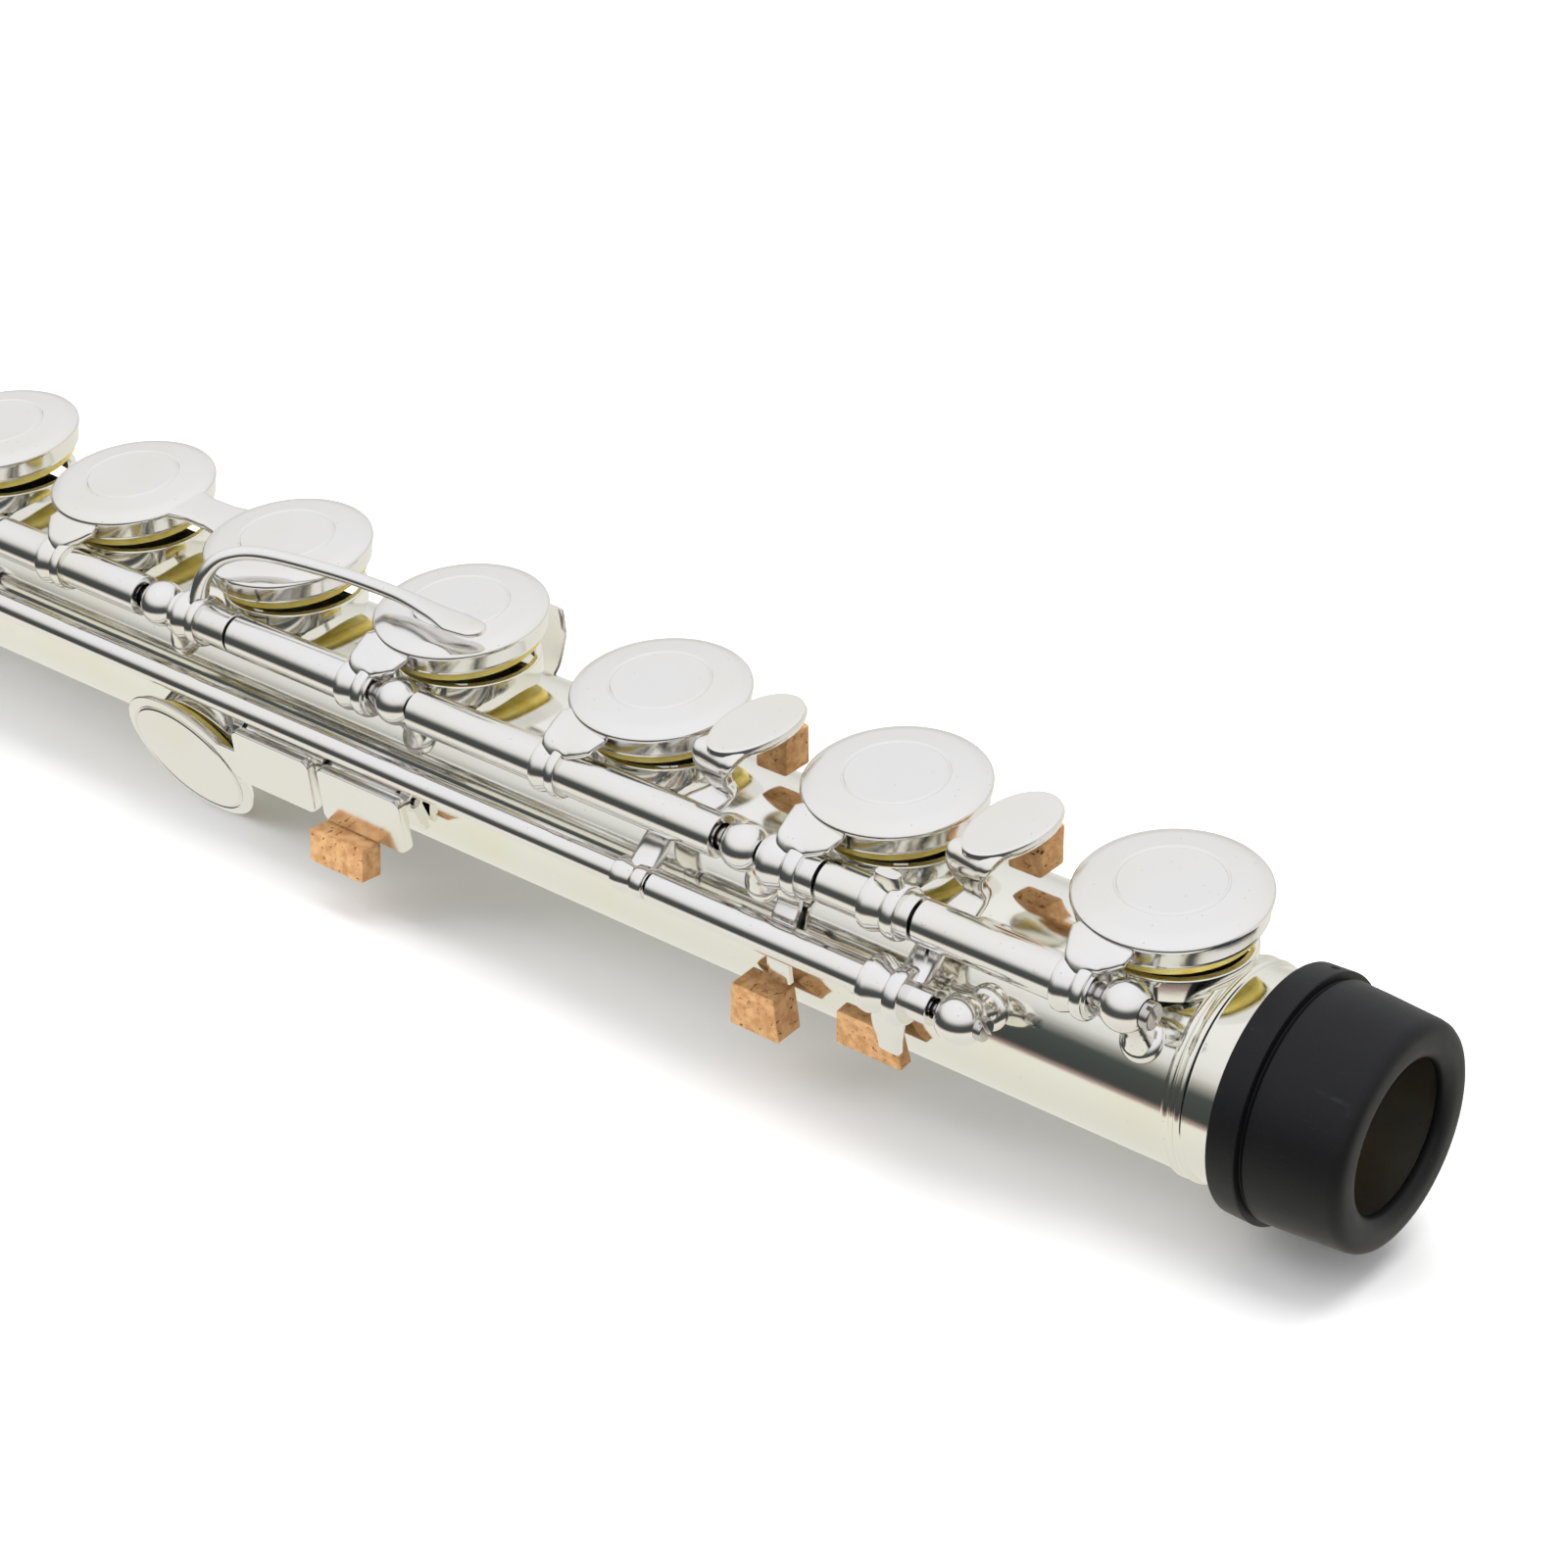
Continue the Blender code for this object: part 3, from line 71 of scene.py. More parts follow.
@dataclass(frozen=True)
class Space:
    """The flute's own space, as the frame holds it."""

    origin: Vector

    @classmethod
    def from_frame(cls) -> "Space":
        """Find the centre line from the barrel, and the origin from the pad of the D key."""
        low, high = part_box("barrel")
        pad_low, pad_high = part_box("d_pad")
        middle = (low + high) / 2.0
        return cls(Vector(((pad_low.x + pad_high.x) / 2.0, middle.y, middle.z)))

    def span(self, node: str) -> tuple[Vector, Vector]:
        """Lowest and highest corner of a node, in the flute's own space.

        Args:
            node: Name of the node.

        Returns:
            The two corners.
        """
        low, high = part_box(node)
        return low - self.origin, high - self.origin

    def ends(self, node: str) -> tuple[float, float]:
        """Stations of a node's head end and foot end."""
        low, high = self.span(node)
        return low.x, high.x

    def station(self, node: str) -> float:
        """Middle of a node along the tube."""
        return sum(self.ends(node)) / 2.0

    def joint_centre(self, joint: str) -> Vector:
        """Point (y, z) that a hinge turns about."""
        place = next(entry["pos_m"] for entry in frame["joints"] if entry["name"] == joint)
        return Vector(place[1:]) - self.origin.yz


space = Space.from_frame()


def around(angle: float, x: float = 0.0) -> Matrix:
    """Space whose Z axis points straight out of the tube.

    Args:
        angle: Angle round the tube from straight up towards the near side, in radians.
        x: Station along the tube.

    Returns:
        The matrix from that space to the flute's.
    """
    return Matrix.Translation((x, 0.0, 0.0)) @ Matrix.Rotation(angle, 4, "X")


def ring_point(degrees: float, radius: float) -> Vector:
    """Point (y, z) at an angle round the tube and a radius from its centre line."""
    angle = math.radians(degrees)
    return Vector((-math.sin(angle) * radius, math.cos(angle) * radius))


# ---------------------------------------------------------------------------------------------------
# Shader expressions
# ---------------------------------------------------------------------------------------------------

Number = Union[float, "Signal"]


class Signal:
    """A node's output socket that can be used in an expression."""

    def __init__(self, tree: bpy.types.NodeTree, socket: bpy.types.NodeSocket) -> None:
        """Wrap a socket."""
        self.tree = tree
        self.socket = socket

    def _maths(self, operation: str, first: Number, second: Number) -> "Signal":
        """Add a Math node for one operation on two values."""
        return add_node(self.tree, "ShaderNodeMath", {"operation": operation}, {0: first, 1: second})

    def __add__(self, other: Number) -> "Signal":
        """Sum."""
        return self._maths("ADD", self, other)

    def __radd__(self, other: Number) -> "Signal":
        """Sum, reflected."""
        return self._maths("ADD", other, self)

    def __sub__(self, other: Number) -> "Signal":
        """Difference."""
        return self._maths("SUBTRACT", self, other)

    def __rsub__(self, other: Number) -> "Signal":
        """Difference, reflected."""
        return self._maths("SUBTRACT", other, self)

    def __mul__(self, other: Number) -> "Signal":
        """Product."""
        return self._maths("MULTIPLY", self, other)

    def __rmul__(self, other: Number) -> "Signal":
        """Product, reflected."""
        return self._maths("MULTIPLY", other, self)

    def above(self, edge: float, softness: float) -> "Signal":
        """Mask that rises from 0 to 1 past an edge.

        Args:
            edge: Value at which the mask starts to rise.
            softness: Span over which it rises.

        Returns:
            The mask.
        """
        settings = {"interpolation_type": "SMOOTHSTEP"}
        values = {"Value": self, "From Min": edge, "From Max": edge + softness}
        return add_node(self.tree, "ShaderNodeMapRange", settings, values)


def add_node(tree: bpy.types.NodeTree, kind: str, settings: dict, values: dict,
             output: Union[int, str] = 0) -> Signal:
    """Add a node to a tree.

    Args:
        tree: Tree that takes the node.
        kind: The node's type.
        settings: Properties to set first; "stops" holds a ramp's (place, colour) pairs.
        values: Numbers, colours or signals for its input sockets, by name or index.
        output: Output socket to return.

    Returns:
        That output.
    """
    node = tree.nodes.new(kind)
    for name, setting in settings.items():
        if name == "stops":
            ramp = node.color_ramp
            while len(ramp.elements) < len(setting):
                ramp.elements.new(1.0)
            for element, (place, colour) in zip(ramp.elements, setting):
                element.position = place
                element.color = (*colour, 1.0)
        else:
            setattr(node, name, setting)
    for name, value in values.items():
        if isinstance(value, Signal):
            tree.links.new(value.socket, node.inputs[name])
        else:
            node.inputs[name].default_value = value
    return Signal(tree, node.outputs[output])


class Surface:
    """A Principled surface, with helpers for the patterns that vary over it."""

    def __init__(self, name: str, constants: dict) -> None:
        """Start a material.

        Args:
            name: Name of the material.
            constants: Values that are the same all over, by socket name.
        """
        self.material = bpy.data.materials.new(name)
        self.material.use_nodes = True
        self.tree = self.material.node_tree
        self.shader = self.tree.nodes["Principled BSDF"]
        for socket, value in constants.items():
            self.shader.inputs[socket].default_value = value
        self.place = add_node(self.tree, "ShaderNodeTexCoord", {}, {}, "Object")

    def stretched(self, scale: Point) -> Signal:
        """Object coordinates scaled unevenly, for grain that runs one way."""
        return add_node(self.tree, "ShaderNodeMapping", {}, {"Vector": self.place, "Scale": scale})

    def noise(self, scale: float, detail: float = 3.0, roughness: float = 0.5,
              vector: Union[Signal, None] = None) -> Signal:
        """Cloudy noise, from 0 to 1.

        Args:
            scale: Features in a metre.
            detail: Octaves.
            roughness: Weight of the finer octaves.
            vector: Coordinates, or none for the object's own.

        Returns:
            The noise.
        """
        values = {"Vector": vector or self.place, "Scale": scale, "Detail": detail,
                  "Roughness": roughness}
        return add_node(self.tree, "ShaderNodeTexNoise", {}, values)

    def cells(self, scale: float, vector: Union[Signal, None] = None) -> Signal:
        """Distance to the nearest of many scattered points."""
        values = {"Vector": vector or self.place, "Scale": scale}
        return add_node(self.tree, "ShaderNodeTexVoronoi", {}, values)

    def tint(self, mask: Number, first: Point, second: Point) -> Signal:
        """Blend of two colours."""
        return self.over(mask, (*first, 1.0), (*second, 1.0))

    def over(self, mask: Number, first: Union[Signal, Point], second: Union[Signal, Point]) -> Signal:
        """Blend of two colours, either of which may already vary.

        Args:
            mask: Share of the second colour.
            first: Colour where the mask is 0.
            second: Colour where the mask is 1.

        Returns:
            The colour.
        """
        return add_node(self.tree, "ShaderNodeMix", {"data_type": "RGBA"}, {0: mask, 6: first, 7: second}, 2)

    def feed(self, socket: str, signal: Signal) -> None:
        """Let a signal drive one of the shader's sockets."""
        self.tree.links.new(signal.socket, self.shader.inputs[socket])

    def bump(self, height: Signal, strength: float, distance: float) -> None:
        """Raise the surface by a height signal.

        Args:
            height: Height from 0 to 1.
            strength: Share of the effect.
            distance: Height of 1, in metres.
        """
        values = {"Height": height, "Strength": strength, "Distance": distance}
        self.feed("Normal", add_node(self.tree, "ShaderNodeBump", {}, values))


@dataclass(frozen=True)
class Metal:
    """A plated or polished metal, with faint clouds, warm tarnish and fine rubbing marks."""

    bright: tuple
    warm: tuple
    dull: float
    rubbed: float
    along: tuple = (0.15, 1.0, 1.0)
    tarnish_scale: float = 70.0
    spot_scale: float = 900.0
    rubbing_scale: float = 2600.0
    cloud_scale: float = 260.0
    spot_shade: float = 0.8
    relief: float = 0.02 * MM

    def dress(self, name: str) -> bpy.types.Material:
        """Make the material.

        Args:
            name: Name of the material.

        Returns:
            The material.
        """
        surface = Surface(name, {"Metallic": 1.0, "IOR": 1.5})
        tarnish = surface.noise(self.tarnish_scale, 2.0).above(0.42, 0.34)
        spots = surface.cells(self.spot_scale).above(0.04, 0.05)
        colour = surface.tint(tarnish, self.bright, self.warm)
        speck = surface.over(spots, (*[part * self.spot_shade for part in self.warm], 1.0), colour)
        surface.feed("Base Color", speck)
        rubbing = surface.noise(self.rubbing_scale, 4.0, 0.6, surface.stretched(self.along))
        clouds = surface.noise(self.cloud_scale, 3.0)
        surface.feed("Roughness", self.dull + clouds * self.rubbed + rubbing * self.rubbed)
        surface.bump(rubbing, 0.10, self.relief)
        return surface.material


@dataclass(frozen=True)
class PadSkin:
    """Thin amber skin stretched over felt, creased where it turns round the edge."""

    pale: tuple = (0.93, 0.78, 0.21)
    deep: tuple = (0.80, 0.60, 0.09)
    cloud_scale: float = 420.0
    crease_scale: float = 1500.0
    relief: float = 0.12 * MM

    def dress(self, name: str) -> bpy.types.Material:
        """Make the material.

        Args:
            name: Name of the material.

        Returns:
            The material.
        """
        constants = {"IOR": 1.45, "Coat Roughness": 0.2, "Subsurface Weight": 0.25,
                     "Subsurface Scale": 0.6 * MM, "Coat Weight": 0.35}
        surface = Surface(name, constants)
        clouds = surface.noise(self.cloud_scale, 3.0)
        creases = surface.noise(self.crease_scale, 4.0, 0.65, surface.stretched((1.0, 1.0, 3.0)))
        surface.feed("Base Color", surface.tint(clouds.above(0.35, 0.35), self.pale, self.deep))
        surface.feed("Roughness", 0.28 + creases * 0.25)
        surface.bump(creases, 0.5, self.relief)
        return surface.material


@dataclass(frozen=True)
class Cork:
    """Cut cork: pale grains in a browner binder, with dark pores."""

    pale: tuple = (0.70, 0.42, 0.20)
    brown: tuple = (0.50, 0.25, 0.10)
    pore: tuple = (0.16, 0.06, 0.025)
    grain_scale: float = 1500.0
    cloud_scale: float = 900.0
    pore_scale: float = 1900.0
    relief: float = 0.15 * MM

    def dress(self, name: str) -> bpy.types.Material:
        """Make the material.

        Args:
            name: Name of the material.

        Returns:
            The material.
        """
        surface = Surface(name, {"Specular IOR Level": 0.25, "Metallic": 0.0})
        grains = surface.cells(self.grain_scale)
        clouds = surface.noise(self.cloud_scale, 4.0, 0.6)
        pores = surface.noise(self.pore_scale, 3.0, 0.7, surface.stretched((1.0, 0.5, 1.0))).above(0.6, 0.08)
        base = surface.tint(clouds.above(0.3, 0.4), self.brown, self.pale)
        surface.feed("Base Color", surface.over(pores, base, (*self.pore, 1.0)))
        surface.feed("Roughness", 0.78 + grains * 0.2)
        surface.bump(clouds - pores * 0.8, 0.6, self.relief)
        return surface.material


@dataclass(frozen=True)
class MouldedRubber:
    """Matte black moulded rubber with a faint grain and a few pale scuffs."""

    black: tuple = (0.0048, 0.0050, 0.0062)
    scuffed: tuple = (0.024, 0.025, 0.029)
    grain_scale: float = 5200.0
    cloud_scale: float = 260.0
    scuff_scale: float = 700.0
    relief: float = 0.05 * MM

    def dress(self, name: str) -> bpy.types.Material:
        """Make the material.

        Args:
            name: Name of the material.

        Returns:
            The material.
        """
        surface = Surface(name, {"Metallic": 0.0, "Specular IOR Level": 0.28})
        grain = surface.noise(self.grain_scale, 3.0, 0.6)
        clouds = surface.noise(self.cloud_scale, 4.0, 0.55)
        scuffs = surface.noise(self.scuff_scale, 5.0, 0.7, surface.stretched((0.25, 1.0, 1.0))).above(0.62, 0.12)
        surface.feed("Base Color", surface.tint(scuffs * clouds, self.black, self.scuffed))
        surface.feed("Roughness", 0.36 + clouds * 0.16 + grain * 0.08)
        surface.bump(grain, 0.3, self.relief)
        return surface.material


class Finish(Enum):
    """The finishes on the flute, each with the record's slot that it stands for."""

    SILVER = ("silver_plate", Metal((0.91, 0.90, 0.89), (0.89, 0.87, 0.80), 0.09, 0.06))
    TUBE = ("silver_plate", Metal((0.91, 0.905, 0.86), (0.90, 0.88, 0.78), 0.06, 0.04))
    # Inside of the tube: duller, rougher silver, with its colour darkened as painted shade inside the tube.
    BORE = ("silver_plate", Metal((0.42, 0.41, 0.38), (0.34, 0.31, 0.26), 0.32, 0.10))
    STEEL = ("hinge_steel", Metal((0.66, 0.64, 0.63), (0.55, 0.50, 0.47), 0.14, 0.08))
    SKIN = ("pad_skin", PadSkin())
    CORK = ("cork", Cork())
    RUBBER = ("black_rubber", MouldedRubber())

    @property
    def slot(self) -> str:
        """The record's slot."""
        return self.value[0]

    def material(self) -> bpy.types.Material:
        """The material, made on first use."""
        name = self.name.lower() + "_finish"
        return bpy.data.materials.get(name) or self.value[1].dress(name)


# ---------------------------------------------------------------------------------------------------
# Shapes
# ---------------------------------------------------------------------------------------------------

def eased(profile: Profile, steps: int = 4) -> list[tuple]:
    """Round the corners of an outline.

    Args:
        profile: Points (across, along) or (across, along, fillet).
        steps: Segments in each rounded corner.

    Returns:
        Points (across, along), with an arc at each corner that has a fillet.
    """
    points = [Vector(point[:2]) for point in profile]
    out = []
    for index, point in enumerate(points):
        fillet = profile[index][2] if len(profile[index]) > 2 else 0.0
        if fillet <= 0.0 or index in (0, len(points) - 1):
            out.append(tuple(point))
            continue
        before, after = points[index - 1] - point, points[index + 1] - point
        reach = min(fillet, before.length * 0.5, after.length * 0.5)
        start, end = point + before.normalized() * reach, point + after.normalized() * reach
        for step in range(steps + 1):
            share = step / steps
            first, second = start.lerp(point, share), point.lerp(end, share)
            out.append(tuple(first.lerp(second, share)))
    return out


@dataclass(frozen=True)
class Section:
    """A rounded cross-section on a path: half sizes and how square it is."""

    place: Vector
    half_width: float
    half_thickness: float
    squareness: float = 2.6


class Shape:
    """A mesh under construction, in the flute's own space."""

    def __init__(self) -> None:
        """Start empty."""
        self.mesh = bmesh.new()

    def skin(self, rings: Sequence[Sequence[Point]], capped: bool = True, joined: bool = False) -> "Shape":
        """Stretch a skin over rings of points.

        Args:
            rings: Rings with the same number of points each; a ring of one point closes the skin there.
            capped: Whether open ends get a flat cap.
            joined: Whether the last ring is joined to the first.

        Returns:
            The shape itself.
        """
        made = [[self.mesh.verts.new(point) for point in ring] for ring in rings]
        pairs = list(zip(made, made[1:])) + ([(made[-1], made[0])] if joined else [])
        for first, second in pairs:
            count = max(len(first), len(second))
            for index in range(count):
                following = (index + 1) % count
                corners = [first[index % len(first)], first[following % len(first)],
                           second[following % len(second)], second[index % len(second)]]
                unique = list(dict.fromkeys(corners))
                if len(unique) > 2:
                    self.mesh.faces.new(unique)
        if capped and not joined:
            for ring in (made[0], made[-1]):
                if len(ring) > 2:
                    self.mesh.faces.new(ring)
        return self

    def turned(self, profile: Profile, matrix: Matrix = Matrix(), sides: int = 64,
               capped: bool = True) -> "Shape":
        """Turn an outline about the Z axis of a space.

        Args:
            profile: Points (radius, height, fillet) along the outline.
            matrix: The space.
            sides: Facets round the axis.
            capped: Whether open ends are closed; a closed outline repeats its first point instead.

        Returns:
            The shape itself.
        """
        points = eased(profile)
        closed = points[0] == points[-1]
        rings = []
        for radius, height in points[:-1] if closed else points:
            count = 1 if radius < 1e-7 else sides
            turns = [2.0 * math.pi * index / sides for index in range(count)]
            rings.append([matrix @ Vector((radius * math.cos(turn), radius * math.sin(turn), height))
                          for turn in turns])
        return self.skin(rings, capped and not closed, closed)

    def along_x(self, profile: Profile, centre: Point = (0.0, 0.0), sides: int = 48,
                capped: bool = True) -> "Shape":
        """Turn an outline about a line along X.

        Args:
            profile: Points (x, radius, fillet) along the outline.
            centre: Point (y, z) that the line goes through.
            sides: Facets round the line.
            capped: Whether open ends are closed.

        Returns:
            The shape itself.
        """
        matrix = Matrix.Translation((0.0, *centre)) @ Matrix.Rotation(math.pi / 2.0, 4, "Y")
        swapped = [(point[1], point[0], *point[2:]) for point in profile]
        return self.turned(swapped, matrix, sides, capped)

    def swept(self, sections: Sequence[Section], width_axis: Vector = Vector((1.0, 0.0, 0.0)),
              sides: int = 20, steps: int = 6) -> "Shape":
        """Sweep a rounded section along a smooth path.

        Args:
            sections: Sections at chosen places; sizes and path are eased between them.
            width_axis: Direction of the sections' width.
            sides: Points round a section.
            steps: Rings between two of the chosen places.

        Returns:
            The shape itself.
        """
        dense = smooth_sections(sections, steps)
        rings = []
        for index, section in enumerate(dense):
            before = dense[max(index - 1, 0)].place
            after = dense[min(index + 1, len(dense) - 1)].place
            tangent = (after - before).normalized()
            across = (width_axis - tangent * width_axis.dot(tangent)).normalized()
            normal = tangent.cross(across)
            power = 2.0 / section.squareness
            ring = []
            for side in range(sides):
                turn = 2.0 * math.pi * side / sides
                wide = math.copysign(abs(math.cos(turn)) ** power, math.cos(turn))
                thick = math.copysign(abs(math.sin(turn)) ** power, math.sin(turn))
                ring.append(section.place + across * (wide * section.half_width)
                            + normal * (thick * section.half_thickness))
            rings.append(ring)
        return self.skin(rings)

    def slab(self, outline: Sequence[Point], thickness: float, matrix: Matrix, edge: float) -> "Shape":
        """Flat plate with eased edges.

        Args:
            outline: Points (x, y) of its edge, in the space's XY plane.
            thickness: Thickness, half to each side of the plane.
            matrix: The space.
            edge: Width of the eased edge.

        Returns:
            The shape itself.
        """
        points = [Vector(point) for point in outline]
        middle = sum(points, Vector((0.0, 0.0))) / len(points)
        half = thickness / 2.0
        levels = [(edge, -half), (edge * 0.3, -half + edge * 0.3), (0.0, -half + edge), (0.0, half - edge),
                  (edge * 0.3, half - edge * 0.3), (edge, half)]
        rings = []
        for inset, height in levels:
            rings.append([matrix @ Vector((*(point - (point - middle).normalized() * inset), height))
                          for point in points])
        return self.skin(rings)

    def object(self, name: str, sharp: float = 40.0) -> bpy.types.Object:
        """Finish the mesh as an object in the world.

        Args:
            name: Name of the piece.
            sharp: Angle in degrees above which an edge stays sharp.

        Returns:
            The object.
        """
        bmesh.ops.recalc_face_normals(self.mesh, faces=self.mesh.faces)
        data = bpy.data.meshes.new(name)
        self.mesh.to_mesh(data)
        self.mesh.free()
        data.transform(Matrix.Translation(space.origin))
        data.shade_smooth()
        data.set_sharp_from_angle(angle=math.radians(sharp))
        made = bpy.data.objects.new(name, data)
        bpy.context.scene.collection.objects.link(made)
        return made


def smooth_sections(sections: Sequence[Section], steps: int) -> list[Section]:
    """Fill in sections between the chosen ones along a Catmull-Rom path.

    Args:
        sections: The chosen sections.
        steps: Sections made for each gap.

    Returns:
        All sections, in order.
    """
    out = []
    last = len(sections) - 1
    for index in range(last):
        four = [sections[min(max(index + shift, 0), last)] for shift in (-1, 0, 1, 2)]
        for step in range(steps):
            share = step / steps
            weights = (-0.5 * share + share ** 2 - 0.5 * share ** 3, 1.0 - 2.5 * share ** 2 + 1.5 * share ** 3,
                       0.5 * share + 2.0 * share ** 2 - 1.5 * share ** 3, -0.5 * share ** 2 + 0.5 * share ** 3)
            place = sum((part.place * weight for part, weight in zip(four, weights)), Vector((0.0, 0.0, 0.0)))
            sizes = [getattr(four[1], name) * (1.0 - share) + getattr(four[2], name) * share
                     for name in ("half_width", "half_thickness", "squareness")]
            out.append(Section(place, *sizes))
    out.append(sections[last])
    return out


def section(x: float, yz: Point, width: float, thickness: float, squareness: float = 2.6) -> Section:
    """Section from full sizes at a station and a (y, z) point."""
    return Section(Vector((x, *yz)), width / 2.0, thickness / 2.0, squareness)


def cut(made: bpy.types.Object, tool: bpy.types.Object, operation: str = "DIFFERENCE") -> None:
    """Join a tool to a piece or cut it away, and remove the tool.

    Args:
        made: The piece.
        tool: The tool, in the same space.
        operation: UNION or DIFFERENCE.
    """
    modifier = made.modifiers.new("tool", "BOOLEAN")
    modifier.operation = operation
    modifier.solver = "EXACT"
    modifier.object = tool
    depsgraph = bpy.context.evaluated_depsgraph_get()
    data = bpy.data.meshes.new_from_object(made.evaluated_get(depsgraph))
    made.modifiers.clear()
    made.data = data
    data.shade_smooth()
    data.set_sharp_from_angle(angle=math.radians(32.0))
    bpy.data.objects.remove(tool)


def place(made: bpy.types.Object, body: str, finish: Finish, *nodes: str) -> bpy.types.Object:
    """Dress a piece and hang it on its body.

    Args:
        made: The piece.
        body: Body that it moves with.
        finish: Its finish.
        nodes: CAD nodes that it stands for.

    Returns:
        The piece.
    """
    made.data.materials.clear()
    made.data.materials.append(finish.material())
    weighted = made.modifiers.new("weighted_normals", "WEIGHTED_NORMAL")
    weighted.keep_sharp = True
    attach(made, body)
    if nodes:
        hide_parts(*nodes)
    return made


def keep_cad(finish: Finish, *nodes: str) -> None:
    """Give CAD nodes whose shape is right a procedural finish.

    Args:
        finish: The finish.
        nodes: The nodes.
    """
    for node in nodes:
        made = frame["nodes"][node]
        made.data.materials.clear()
        made.data.materials.append(finish.material())
        log.info("%s keeps its solid, in %s", node, finish.name.lower())


def turned_open(made: bpy.types.Object, centre: Point, angle: float) -> bpy.types.Object:
    """Turn a piece that was built closed to where it rests, about a line along X through (y, z)."""
    pivot = Matrix.Translation(space.origin + Vector((0.0, *centre)))
    made.data.transform(pivot @ Matrix.Rotation(angle, 4, "X") @ pivot.inverted())
    return made


def ellipse(half_length: float, half_width: float, points: int = 40) -> list[tuple]:
    """Outline of an ellipse."""
    turns = [2.0 * math.pi * index / points for index in range(points)]
    return [(half_length * math.cos(turn), half_width * math.sin(turn)) for turn in turns]


def rounded_box(length: float, width: float, corner: float, points: int = 6) -> list[tuple]:
    """Outline of a rectangle with round corners.

    Args:
        length: Size along the outline's X axis.
        width: Size along its Y axis.
        corner: Radius of the corners.
        points: Segments in each corner.

    Returns:
        Points (x, y) of the outline.
    """
    out = []
    for quarter, (side, end) in enumerate(((1, 1), (-1, 1), (-1, -1), (1, -1))):
        for index in range(points + 1):
            turn = math.pi / 2.0 * (quarter + index / points)
            out.append((side * (length / 2.0 - corner) + corner * math.cos(turn),
                        end * (width / 2.0 - corner) + corner * math.sin(turn)))
    return out


# ---------------------------------------------------------------------------------------------------
# Sizes that the sub-assemblies share
# ---------------------------------------------------------------------------------------------------

TUBE_RADIUS = 9.9 * MM
TUBE_WALL = 0.45 * MM
GAP = 0.3 * MM
HINGE_OUTER = 2.1 * MM
HINGE_INNER = 1.3 * MM
HINGE_COLLAR = 2.7 * MM
TRILL_OUTER = 1.35 * MM
TRILL_INNER = 0.95 * MM
TRILL_TOUCH_OUTER = 1.7 * MM
CORK_CORNER = 0.25 * MM
CORK_EDGE = 0.16 * MM
OPEN_ANGLE = math.radians(6.0)
THUMB_OPEN_ANGLE = math.radians(-5.0)

main_rod = space.joint_centre("d_key_press")
trill_rod = space.joint_centre("d_trill_press")
thumb_rod = space.joint_centre("thumb_b_press")
g_sharp_rod = space.joint_centre("g_sharp_press")


@dataclass(frozen=True)
class Cup:
    """A tone hole with its chimney, and the cup and pad over it."""

    x: float
    angle: float = 0.0
    chimney: float = 7.4 * MM
    chimney_wall: float = 0.65 * MM
    rise: float = 1.1 * MM
    pad_radius: float = 7.8 * MM
    thickness: float = 1.8 * MM
    wall: float = 0.65 * MM
    skirt: float = 1.5 * MM
    crown: float = 2.2 * MM
    disc_share: float = 0.55

    @property
    def chimney_top(self) -> float:
        """Distance of the chimney's rim from the centre line."""
        return TUBE_RADIUS + self.rise

    @property
    def pad_top(self) -> float:
        """Distance of the pad's back from the centre line."""
        return self.chimney_top + GAP + self.thickness

    @property
    def roof(self) -> float:
        """Distance of the cup's inner roof from the centre line."""
        return self.pad_top + GAP

    @property
    def top(self) -> float:
        """Distance of the cup's top from the centre line."""
        return self.roof + self.crown

    @property
    def outer(self) -> float:
        """Radius of the cup."""
        return self.pad_radius + 0.35 * MM + self.wall

    def add_cup(self, shape: Shape) -> None:
        """Add the cup: a flat disc set off by a fine groove, a sloping shoulder and a hollow underside.

        Args:
            shape: Shape that takes it.
        """
        disc, rim = self.outer * self.disc_share, self.roof - self.skirt * 0.6
        groove, fall = 0.14 * MM, self.crown * 0.14
        inner = self.outer - self.wall
        profile = [(0.0, self.top), (disc - groove * 1.4, self.top, 0.06 * MM),
                   (disc - groove * 0.3, self.top - groove, 0.04 * MM),
                   (disc + groove * 0.3, self.top - groove, 0.04 * MM),
                   (disc + groove * 1.4, self.top - 0.02 * MM, 0.06 * MM),
                   (self.outer - 1.3 * MM, self.top - fall, 0.5 * MM),
                   (self.outer, self.top - self.crown * 0.4, 0.75 * MM),
                   (self.outer - 0.18 * MM, self.top - self.crown * 0.75, 0.4 * MM),
                   (self.outer - 0.5 * MM, rim + 0.2 * MM, 0.5 * MM),
                   (self.outer - 0.45 * MM, rim, 0.12 * MM), (inner - 0.12 * MM, rim, 0.1 * MM),
                   (inner - 0.12 * MM, self.roof, 0.2 * MM), (0.0, self.roof)]
        shape.turned(profile, around(self.angle, self.x), 72)

    def pad(self) -> Shape:
        """The pad: felt and card under a skin, with the ring that the chimney has pressed into it.

        Returns:
            The pad, built closed.
        """
        low = self.chimney_top + GAP
        radius = self.pad_radius
        seat = self.chimney - self.chimney_wall
        profile = [(0.0, self.pad_top), (radius, self.pad_top, 0.3 * MM), (radius, low + 0.15 * MM, 0.45 * MM),
                   (radius - 0.6 * MM, low, 0.4 * MM), (seat + 0.7 * MM, low, 0.2 * MM),
                   (seat, low + 0.12 * MM, 0.2 * MM), (seat - 0.7 * MM, low, 0.2 * MM),
                   (radius * 0.3, low, 0.3 * MM), (radius * 0.26, low + 0.4 * MM, 0.1 * MM),
                   (0.0, low + 0.4 * MM)]
        return Shape().turned(profile, around(self.angle, self.x), 56)


